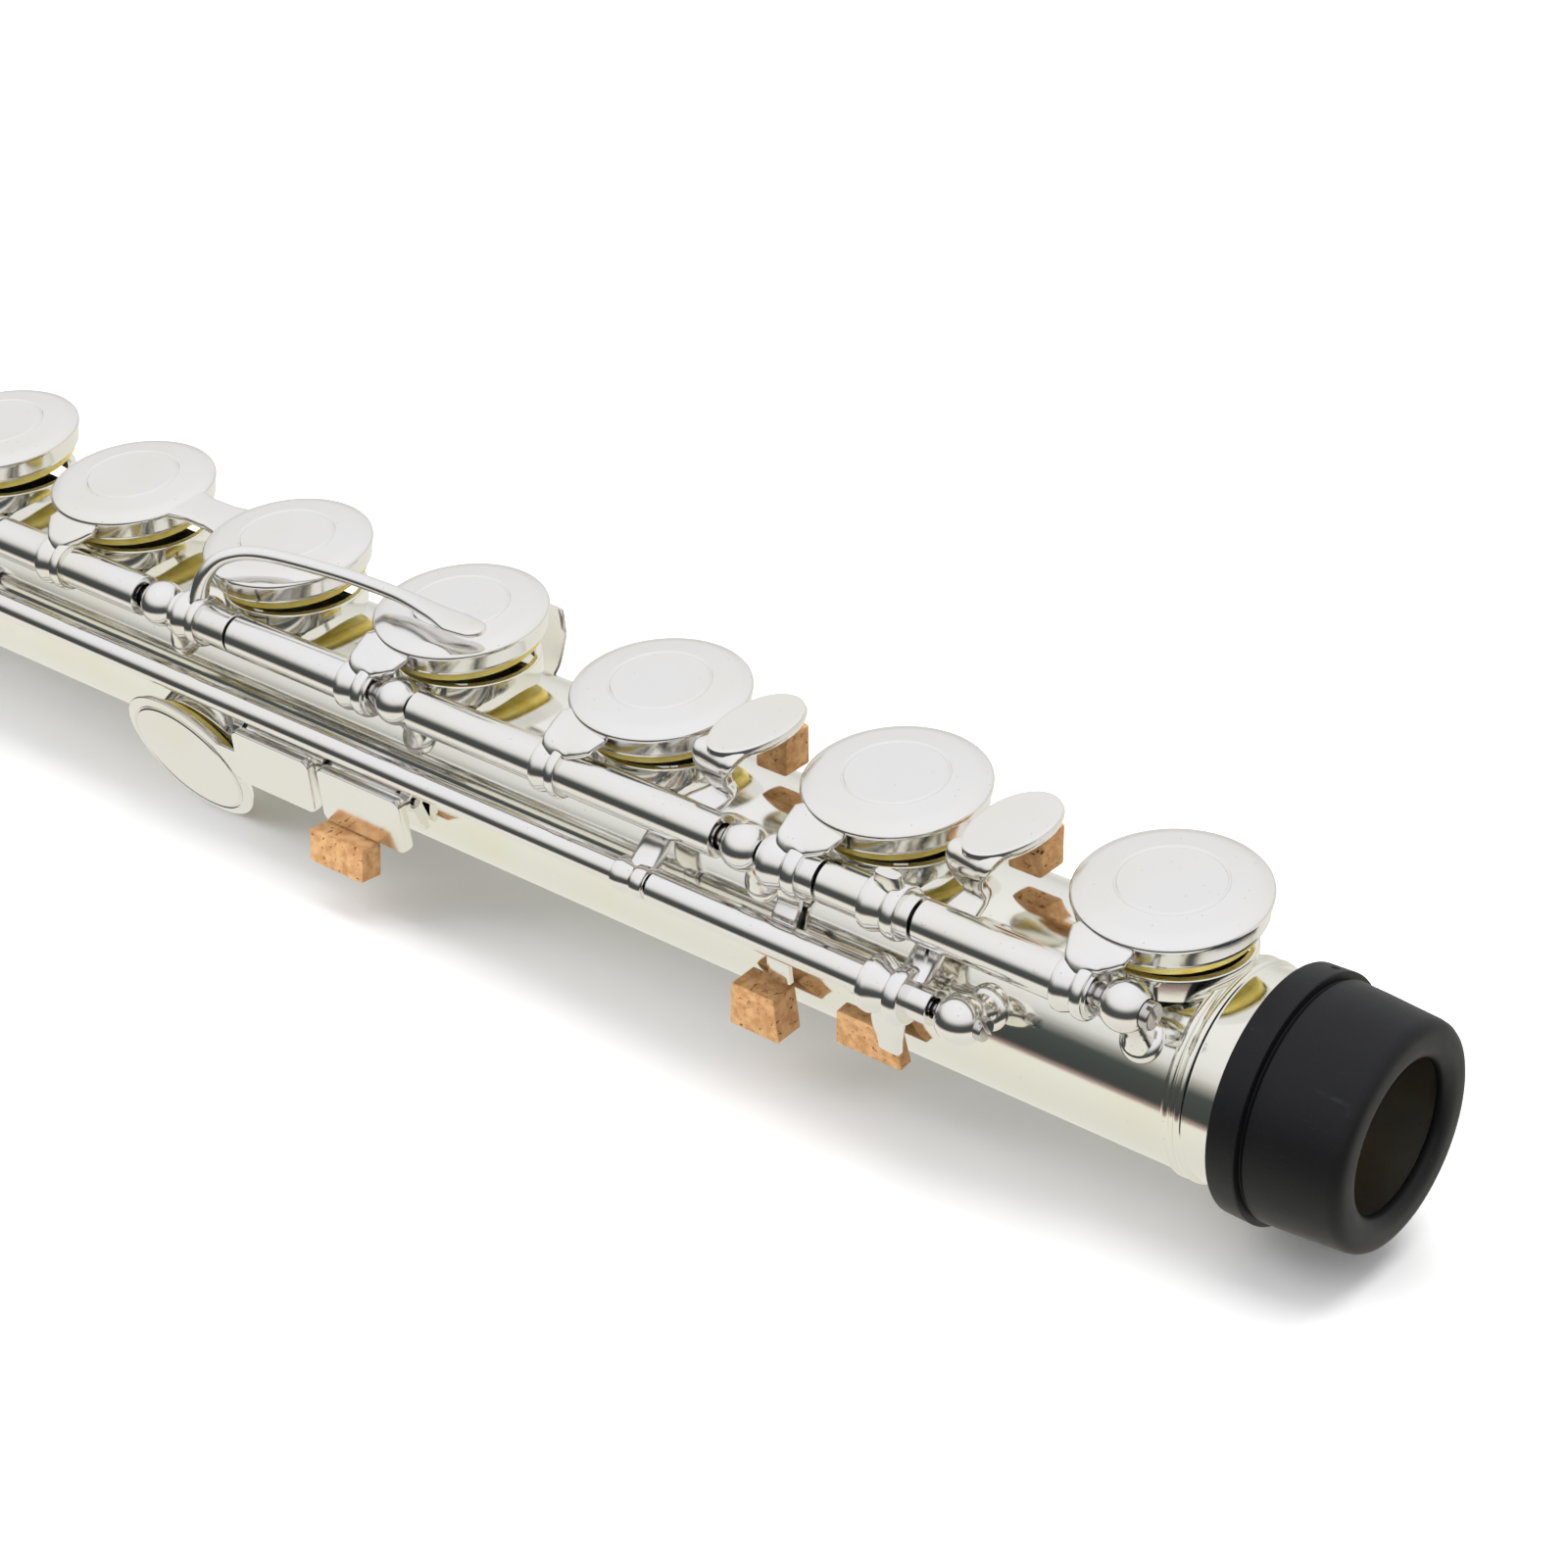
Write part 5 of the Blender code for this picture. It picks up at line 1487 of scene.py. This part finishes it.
@dataclass
class SideLever:
    """The long wire lever that arches from the main rod over the F sharp cup."""

    tube: tuple = (-113.4 * MM, -105.2 * MM)
    collar: tuple = (-112.3 * MM, -109.2 * MM)
    wire: float = 1.5 * MM
    lift: float = 2.4 * MM

    def dress(self) -> None:
        """Build the lever: the wire swells and flattens into a teardrop at its end."""
        shape = Shape()
        sleeve(shape, *self.tube, main_rod, HINGE_OUTER, HINGE_INNER)
        collar(shape, *self.collar, main_rod, HINGE_COLLAR, HINGE_OUTER + 0.1 * MM)
        root, cup = sum(self.collar) / 2.0, cups["f_sharp"]
        height = cup.top + self.lift
        y, z = main_rod
        wire, end = self.wire, cup.x
        sections = [
            section(root, (y, z + 1.6 * MM), wire * 1.5, wire * 1.5, 2.0),
            section(root + 1.2 * MM, (y + 0.2 * MM, height - 2.6 * MM), wire * 1.1, wire * 1.1, 2.0),
            section(root + 3.0 * MM, (y + 1.5 * MM, height - 0.5 * MM), wire, wire, 2.0),
            section(root + 6.5 * MM, (y + 3.5 * MM, height + 0.1 * MM), wire, wire, 2.0),
            section(end - 12.0 * MM, (-5.4 * MM, height), wire, wire * 0.95, 2.0),
            section(end - 4.0 * MM, (-5.0 * MM, height), wire * 1.1, wire * 0.9, 2.1),
            section(end + 1.5 * MM, (-5.5 * MM, height), wire * 1.6, wire * 0.8, 2.3),
            section(end + 4.6 * MM, (-5.8 * MM, height), wire * 2.4, wire * 0.68, 2.4),
            section(end + 7.2 * MM, (-5.8 * MM, height), wire * 1.9, wire * 0.6, 2.4),
            section(end + 8.1 * MM, (-5.8 * MM, height), wire * 0.5, wire * 0.35, 2.2)]
        shape.swept(sections, Vector((0.0, 1.0, 0.0)), 28, 8)
        place(shape.object("b_flat_side_lever_plated"), "side_lever", Finish.SILVER, "b_flat_side_lever")
        log.info("B flat side lever")


@dataclass
class TrillKeys:
    """The two trill keys: leaf touches between the right hand's cups, and small cups far up the tube."""

    touches: tuple = (-15.2 * MM, -44.0 * MM)
    touch_tube: tuple = (-47.3 * MM, -15.2 * MM)
    touch_collar: tuple = (-22.1 * MM, -17.7 * MM)
    long_tube: tuple = (-250.2 * MM, -47.8 * MM)
    long_collar: tuple = (-51.6 * MM, -47.9 * MM)
    cup_tube: tuple = (-264.8 * MM, -250.6 * MM)
    leaf: tuple = (6.8 * MM, 11.0 * MM, 1.2 * MM)
    leaf_height: float = 17.2 * MM
    leaf_y: float = -2.6 * MM
    leaf_shift: float = -0.1 * MM
    leaf_turn: float = math.radians(-8.0)
    leaf_tilt: float = math.radians(8.0)
    arm_width: float = 3.0 * MM
    cork: float = 3.6 * MM
    tail_cork: tuple = (7.0 * MM, 4.0 * MM, 1.5 * MM)
    tail_cork_x: float = -24.3 * MM
    tail_cork_angle: float = math.radians(110.0)
    tail_cork_lean: float = math.radians(12.0)

    def add_touch(self, shape: Shape, x: float, low_x: float) -> None:
        """Add a touch: an arm that passes under the main rod, rises between two cups and ends in a leaf.

        Args:
            shape: Shape that takes it.
            x: Station of the leaf.
            low_x: Head end of the arm's root on the trill rod.
        """
        root, riser = low_x + self.arm_width / 2.0, x - self.arm_width / 2.0
        under, past = ring_point(50.0, TUBE_RADIUS + 2.1 * MM), ring_point(25.0, TUBE_RADIUS + 2.6 * MM)
        width, top = self.arm_width, self.leaf_height
        shape.swept([
            section(root, trill_rod + Vector((0.5 * MM, 0.7 * MM)), width, 2.0 * MM, 3.0),
            section(root, under, width, 1.1 * MM, 3.4),
            section((root + riser) / 2.0, (under + past) / 2.0, width * 1.2, 1.1 * MM, 3.4),
            section(riser, past + Vector((-0.2 * MM, 0.0)), width * 0.8, 1.2 * MM, 4.0),
            section(riser + 0.1 * MM, (past.x - 1.3 * MM, top - 4.0 * MM), width * 1.0, 1.2 * MM, 4.0),
            section(riser + 0.3 * MM, (past.x - 2.2 * MM, top - 2.2 * MM), width * 1.4, 1.2 * MM, 4.4),
            section(riser + 0.8 * MM, (past.x - 1.9 * MM, top - 0.9 * MM), width * 1.7, 1.1 * MM, 4.0),
            section(x, (self.leaf_y - 1.4 * MM, top - 0.25 * MM), width * 1.5, 0.9 * MM, 3.0)],
            sides=24, steps=6)
        wide, length, thick = self.leaf
        matrix = (Matrix.Translation((x, self.leaf_y + self.leaf_shift, top))
                  @ Matrix.Rotation(self.leaf_tilt, 4, "X") @ Matrix.Rotation(self.leaf_turn, 4, "Z"))
        outline = [(a * (1.0 + 0.06 * b / length * 2.0), b) for a, b in ellipse(wide / 2.0, length / 2.0, 56)]
        shape.slab(outline, thick, matrix, thick * 0.46)

    def add_small_cup(self, shape: Shape, cup: Cup) -> None:
        """Add a small cup and its arm down from the trill rod.

        Args:
            shape: Shape that takes them.
            cup: The cup.
        """
        width = self.arm_width
        shape.swept([
            section(cup.x, trill_rod - Vector((0.3 * MM, 0.7 * MM)), width, 1.8 * MM, 3.0),
            section(cup.x, ring_point(86.0, cup.top - 0.1 * MM), width * 1.1, 1.1 * MM, 3.4),
            section(cup.x, ring_point(94.0, cup.top - 0.5 * MM), width * 1.25, 1.0 * MM, 3.4),
            section(cup.x, ring_point(math.degrees(TRILL_CUP_ANGLE), cup.top - 0.7 * MM), width, 0.9 * MM, 3.0)])
        cup.add_cup(shape)

    def touch_cork(self, name: str, x: float, body: str) -> None:
        """Build the cork bumper under a leaf.

        Args:
            name: CAD node that it stands for.
            x: Station of the leaf.
            body: Body that it moves with.
        """
        low, high = TUBE_RADIUS + 6.0 * GAP, self.leaf_height - self.leaf[2] - GAP
        middle = Matrix.Translation((x, self.leaf_y + self.cork, (low + high) / 2.0))
        shape = Shape().slab(rounded_box(self.cork, self.cork, 0.3 * MM, 3), high - low, middle, 0.18 * MM)
        place(shape.object(name + "_cut"), body, Finish.CORK, name)

    def dress_d_sharp(self) -> None:
        """Build the D sharp trill key: touch, tail, corks, and the cup that its steel carries."""
        body, cup = "d_sharp_trill", cups["d_sharp_trill"]
        shape = Shape()
        sleeve(shape, *self.touch_tube, trill_rod, TRILL_TOUCH_OUTER, TRILL_INNER)
        collar(shape, *self.touch_collar, trill_rod, 2.75 * MM, 1.8 * MM)
        self.add_touch(shape, self.touches[0], self.touch_collar[0] + 2.3 * MM)
        path = TUBE_RADIUS + self.tail_cork[2] + 1.7 * MM
        middle = self.touch_collar[0] + 1.0 * MM
        shape.swept([
            section(middle + 1.0 * MM, trill_rod - Vector((0.2 * MM, 0.8 * MM)), 3.6 * MM, 2.2 * MM, 3.0),
            section(middle + 0.9 * MM, ring_point(88.0, path + 0.5 * MM), 3.4 * MM, 1.1 * MM, 3.6),
            section(middle + 0.8 * MM, ring_point(95.0, path + 0.2 * MM), 2.6 * MM, 1.0 * MM, 4.0),
            section(middle + 0.7 * MM, ring_point(101.0, path + 0.1 * MM), 2.3 * MM, 0.9 * MM, 4.0)])
        place(shape.object("d_sharp_trill_touch_plated"), body, Finish.SILVER, "d_sharp_trill_touch")
        cork = tail_cork(self.tail_cork_x, self.tail_cork, self.tail_cork_angle, 0.8 * MM, self.tail_cork_lean)
        place(cork.object("d_sharp_tail_cork_cut"), body, Finish.CORK, "d_sharp_tail_cork")
        self.touch_cork("d_sharp_touch_cork", self.touches[0], body)
        far = Shape()
        sleeve(far, *self.cup_tube, trill_rod, TRILL_OUTER, TRILL_INNER)
        self.add_small_cup(far, cup)
        place(far.object("d_sharp_trill_cup_plated"), body, Finish.SILVER, "d_sharp_trill_cup")
        dress_pad(cup.pad(), "d_sharp_trill_pad", body)
        log.info("D sharp trill key")

    def dress_d(self) -> None:
        """Build the D trill key in one piece from touch to cup, with its cork and pad."""
        body, cup = "d_trill", cups["d_trill"]
        shape = Shape()
        sleeve(shape, *self.long_tube, trill_rod, TRILL_OUTER, TRILL_INNER)
        collar(shape, *self.long_collar, trill_rod, 1.7 * MM, 1.45 * MM)
        self.add_touch(shape, self.touches[1], self.long_collar[1] - self.arm_width)
        self.add_small_cup(shape, cup)
        place(shape.object("d_trill_key_plated"), body, Finish.SILVER, "d_trill_key")
        dress_pad(cup.pad(), "d_trill_pad", body)
        self.touch_cork("d_touch_cork", self.touches[1], body)
        log.info("D trill key")


@dataclass
class LowKeys:
    """The thumb keys on the near side and the G sharp key on the far side."""

    thumb_tube: tuple = (-103.5 * MM, -92.4 * MM)
    lever_tube: tuple = (-91.2 * MM, -82.3 * MM)
    g_sharp_tube: tuple = (-97.4 * MM, -84.0 * MM)
    tube: tuple = (1.1 * MM, 0.75 * MM)
    plate_z: tuple = (-4.7 * MM, 1.5 * MM)
    plate_thickness: float = 1.2 * MM
    plate_lean: float = math.radians(11.0)
    reach: float = 2.6 * MM
    overhang: float = 2.6 * MM
    cork: tuple = (7.4 * MM, 3.6 * MM, 2.6 * MM)
    touch_height: float = 9.0 * MM
    touch_length: float = 9.0 * MM

    def add_plate(self, shape: Shape, low_x: float, high_x: float, centre: Vector, side: float) -> None:
        """Add a flat touch plate and the tab that joins it to its hinge tube.

        Args:
            shape: Shape that takes them.
            low_x: Head end of the plate.
            high_x: Foot end of the plate.
            centre: Point (y, z) of the hinge.
            side: 1 on the near side of the tube, -1 on the far side.
        """
        bottom, top = self.plate_z
        y = centre.x - side * (self.reach - self.plate_thickness / 2.0)
        matrix = (Matrix.Translation(((low_x + high_x) / 2.0, y, (bottom + top) / 2.0))
                  @ Matrix.Rotation(math.pi / 2.0 + side * self.plate_lean, 4, "X"))
        shape.slab(rounded_box(high_x - low_x, top - bottom, 0.8 * MM), self.plate_thickness, matrix, 0.25 * MM)
        tab = [section((low_x + high_x) / 2.0, (near, centre.y), high_x - low_x - 1.0 * MM, 1.4 * MM, 4.0)
               for near in (centre.x - side * 0.85 * MM, y)]
        shape.swept(tab)

    def add_bridge(self, shape: Shape, cup: Cup, towards_x: float, up: float) -> None:
        """Add the bar from a low cup's top towards its hinge.

        Args:
            shape: Shape that takes it.
            cup: The cup.
            towards_x: Station where the bar ends.
            up: 1 or -1, for the side of the cup that faces the hinge.
        """
        middle = (cup.roof + cup.top) / 2.0
        matrix = around(cup.angle, cup.x)
        run = towards_x - cup.x
        places = [matrix @ Vector((run * share, up * 2.5 * MM, middle)) for share in (0.15, 0.6, 1.0)]
        axis = matrix.to_3x3() @ Vector((0.0, 1.0, 0.0))
        shape.swept([Section(spot, 2.4 * MM, 0.32 * MM, 4.0) for spot in places], axis)

    def dress_thumb(self) -> None:
        """Build the thumb B key with its disc cup, plate and pad."""
        cup, body = cups["thumb"], "thumb_b"
        low, high = self.thumb_tube
        shape = Shape()
        sleeve(shape, low, high, thumb_rod, *self.tube)
        self.add_plate(shape, low, high, thumb_rod, 1.0)
        self.add_bridge(shape, cup, low + 3.0 * MM, 1.0)
        cup.add_cup(shape)
        made = turned_open(shape.object("thumb_b_key_plated"), thumb_rod, THUMB_OPEN_ANGLE)
        place(made, body, Finish.SILVER, "thumb_b_key")
        dress_pad(cup.pad(), "thumb_b_pad", body, thumb_rod, THUMB_OPEN_ANGLE)
        log.info("thumb B key")

    def dress_lever(self) -> None:
        """Build the thumb B flat lever with the cork under its plate."""
        body = "thumb_b_flat"
        low, high = self.lever_tube
        shape = Shape()
        sleeve(shape, low, high, thumb_rod, *self.tube)
        self.add_plate(shape, low, high + self.overhang, thumb_rod, 1.0)
        made = turned_open(shape.object("thumb_b_flat_lever_plated"), thumb_rod, THUMB_OPEN_ANGLE)
        place(made, body, Finish.SILVER, "thumb_b_flat_lever")
        length, height, thickness = self.cork
        inner = thumb_rod.x - self.reach + self.plate_thickness
        top = self.plate_z[0] - GAP
        matrix = (Matrix.Translation((low + length / 2.0, inner - thickness / 2.0, top - height / 2.0))
                  @ Matrix.Rotation(math.pi / 2.0, 4, "X"))
        cork = Shape().slab(rounded_box(length, height, CORK_CORNER, 3), thickness, matrix, CORK_EDGE)
        made = turned_open(cork.object("thumb_b_flat_cork_cut"), thumb_rod, THUMB_OPEN_ANGLE)
        place(made, body, Finish.CORK, "thumb_b_flat_cork")
        log.info("thumb B flat lever")

    def dress_g_sharp(self) -> None:
        """Build the G sharp key: a touch above its hinge and a closed cup below it."""
        cup, body = cups["g_sharp"], "g_sharp"
        low, high = self.g_sharp_tube
        outer = g_sharp_rod.x + self.reach
        shape = Shape()
        sleeve(shape, low, high, g_sharp_rod, *self.tube)
        self.add_plate(shape, low, low + 4.0 * MM, g_sharp_rod, -1.0)
        self.add_bridge(shape, cup, low + 3.0 * MM, -1.0)
        middle = high - self.touch_length / 2.0
        shape.swept([
            section(middle, g_sharp_rod + Vector((0.9 * MM, 0.5 * MM)), self.touch_length * 0.7, 1.0 * MM, 3.0),
            section(middle, (outer, self.touch_height * 0.33), self.touch_length * 0.85, 1.0 * MM, 3.4),
            section(middle, (outer + 0.8 * MM, self.touch_height * 0.7), self.touch_length * 0.95, 0.95 * MM, 3.0),
            section(middle, (outer + self.plate_thickness, self.touch_height), self.touch_length * 0.8, 0.7 * MM)])
        cup.add_cup(shape)
        place(shape.object("g_sharp_key_plated"), body, Finish.SILVER, "g_sharp_key")
        dress_pad(cup.pad(), "g_sharp_pad", body)
        log.info("G sharp key")

    def dress(self) -> None:
        """Build the low keys and finish the straps that carry them."""
        self.dress_thumb()
        self.dress_lever()
        self.dress_g_sharp()
        keep_cad(Finish.SILVER, "thumb_posts", "g_sharp_posts")


# ---------------------------------------------------------------------------------------------------
# Studio
# ---------------------------------------------------------------------------------------------------

@dataclass
class Studio:
    """A pale floor, a bright tent with a dark band on the near side, two lamps and the camera."""

    target: tuple = (-5.87 * MM, -44.12 * MM, 43.66 * MM)
    distance: float = 256.04 * MM
    azimuth: float = math.radians(40.14)
    elevation: float = math.radians(30.0)
    roll: float = math.radians(-0.976)
    lens: float = 80.464
    sensor: float = 36.0
    clip: tuple = (0.01, 20.0)
    floor_size: float = 6.0
    floor_colours: tuple = ((0.9, 0.9, 0.9), (0.93, 0.93, 0.93))
    aim: tuple = (-40.0 * MM, 0.0, 0.0)
    lamps: tuple = (("overhead", (-0.1, 0.35, 1.1), 1.2, 16.0, (1.0, 0.99, 0.97)),
                    ("side", (-0.9, -0.5, 0.7), 0.8, 7.0, (0.98, 0.99, 1.0)))
    near_stops: tuple = (
        (0.0, (0.76, 0.75, 0.68)), (0.245, (0.86, 0.85, 0.765)), (0.262, (0.42, 0.31, 0.27)),
        (0.30, (0.055, 0.06, 0.06)), (0.50, (0.07, 0.08, 0.075)), (0.56, (0.30, 0.30, 0.28)),
        (0.64, (0.72, 0.71, 0.69)), (0.74, (0.86, 0.86, 0.87)), (1.0, (0.93, 0.93, 0.95)))
    far_stops: tuple = (
        (0.0, (0.76, 0.75, 0.68)), (0.30, (0.84, 0.83, 0.76)), (0.50, (0.66, 0.66, 0.64)),
        (0.64, (0.80, 0.80, 0.80)), (1.0, (0.93, 0.93, 0.95)))

    def floor(self) -> None:
        """Lay the floor: one flat pale slab, which the metal does not reflect."""
        size = self.floor_size
        top = -space.origin.z
        outline = [(-size, -size), (size, -size), (size, size), (-size, size)]
        rings = [[Vector((x, y, height)) for x, y in outline] for height in (top - 1.0 * MM, top)]
        made = Shape().skin(rings).object("floor")
        surface = Surface("floor_finish", {"Metallic": 0.0, "Specular IOR Level": 0.2})
        clouds = surface.noise(3.0, 2.0)
        surface.feed("Base Color", surface.tint(clouds, *self.floor_colours))
        surface.feed("Roughness", 0.7 + clouds * 0.1)
        made.data.materials.append(surface.material)
        made.visible_glossy = False

    def sky(self) -> None:
        """Surround everything with a bright tent that has a dark band low down on the near side."""
        world = bpy.data.worlds.new("tent")
        bpy.context.scene.world = world
        world.use_nodes = True
        tree = world.node_tree
        direction = add_node(tree, "ShaderNodeTexCoord", {}, {}, "Generated")
        split = {name: add_node(tree, "ShaderNodeSeparateXYZ", {}, {"Vector": direction}, name) for name in "YZ"}
        shade = split["Z"] * 0.5 + 0.5
        near = add_node(tree, "ShaderNodeValToRGB", {"stops": self.near_stops}, {"Fac": shade})
        far = add_node(tree, "ShaderNodeValToRGB", {"stops": self.far_stops}, {"Fac": shade})
        colour = add_node(tree, "ShaderNodeMix", {"data_type": "RGBA"},
                          {0: split["Y"].above(0.0, 0.4), 6: near, 7: far}, 2)
        background = tree.nodes["Background"]
        tree.links.new(colour.socket, background.inputs["Color"])
        background.inputs["Strength"].default_value = 1.0

    def light(self, name: str, place_at: Point, size: float, power: float, colour: Point) -> None:
        """Hang a soft square light that looks at the flute.

        Args:
            name: Its name.
            place_at: Where it hangs.
            size: Its side.
            power: Its power in watts.
            colour: Its colour.
        """
        data = bpy.data.lights.new(name, "AREA")
        data.size = size
        data.energy = power
        data.color = colour
        made = bpy.data.objects.new(name, data)
        bpy.context.scene.collection.objects.link(made)
        spot = Vector(place_at) + space.origin
        aim = space.origin + Vector(self.aim) - spot
        made.matrix_world = Matrix.Translation(spot) @ aim.to_track_quat("-Z", "Y").to_matrix().to_4x4()
        made.visible_glossy = False

    def camera(self) -> None:
        """Set the camera up."""
        data = bpy.data.cameras.new("view")
        data.sensor_width = self.sensor
        data.lens = self.lens
        data.clip_start, data.clip_end = self.clip
        made = bpy.data.objects.new("view", data)
        bpy.context.scene.collection.objects.link(made)
        turn = (Matrix.Rotation(self.azimuth, 4, "Z")
                @ Matrix.Rotation(math.pi / 2.0 - self.elevation, 4, "X")
                @ Matrix.Rotation(self.roll, 4, "Z"))
        back = turn.to_3x3() @ Vector((0.0, 0.0, 1.0))
        spot = space.origin + Vector(self.target) + back * self.distance
        made.matrix_world = Matrix.Translation(spot) @ turn
        bpy.context.scene.camera = made

    def dress(self) -> None:
        """Set the whole studio up."""
        self.floor()
        self.sky()
        for lamp in self.lamps:
            self.light(*lamp)
        self.camera()
        bpy.context.scene.view_settings.view_transform = "Standard"
        log.info("studio")


def main() -> None:
    """Build the flute from the tube outwards, then the studio."""
    logging.basicConfig(level=logging.INFO, format="%(name)s: %(message)s")
    BodyTube().dress()
    Barrel().dress()
    HeadJoint().dress()
    ProtectorCap().dress()
    Posts().dress()
    Steels().dress()
    keys = [
        MainKey("d", (-18.5 * MM, -0.2 * MM), ((-3.6 * MM, -0.4 * MM),), ("d",)),
        EKey("e", (-36.0 * MM, -29.5 * MM), ((-35.4 * MM, -31.2 * MM),), ("e",)),
        MainKey("f", (-79.6 * MM, -41.4 * MM), ((-63.0 * MM, -60.0 * MM),), ("f",)),
        MainKey("f_sharp", (-104.8 * MM, -85.1 * MM), ((-88.8 * MM, -85.3 * MM),), ("f_sharp",)),
        GKey("g", (-141.0 * MM, -118.8 * MM), ((-133.2 * MM, -129.8 * MM),), ("upper_g",)),
        MainKey("b_flat", (-163.4 * MM, -141.4 * MM), ((-155.2 * MM, -151.8 * MM),), ("b_flat",)),
        MainKey("a", (-181.2 * MM, -163.8 * MM), ((-176.2 * MM, -172.8 * MM),), ("a",)),
        MainKey("c", (-237.8 * MM, -186.8 * MM),
                ((-214.2 * MM, -210.8 * MM), (-232.7 * MM, -230.3 * MM)), ("c", "c_sharp")),
    ]
    for key in keys:
        key.dress()
    AdjustingLug().dress()
    SideLever().dress()
    trills = TrillKeys()
    trills.dress_d_sharp()
    trills.dress_d()
    LowKeys().dress()
    Studio().dress()
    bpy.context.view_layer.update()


if __name__ == "__main__":
    main()
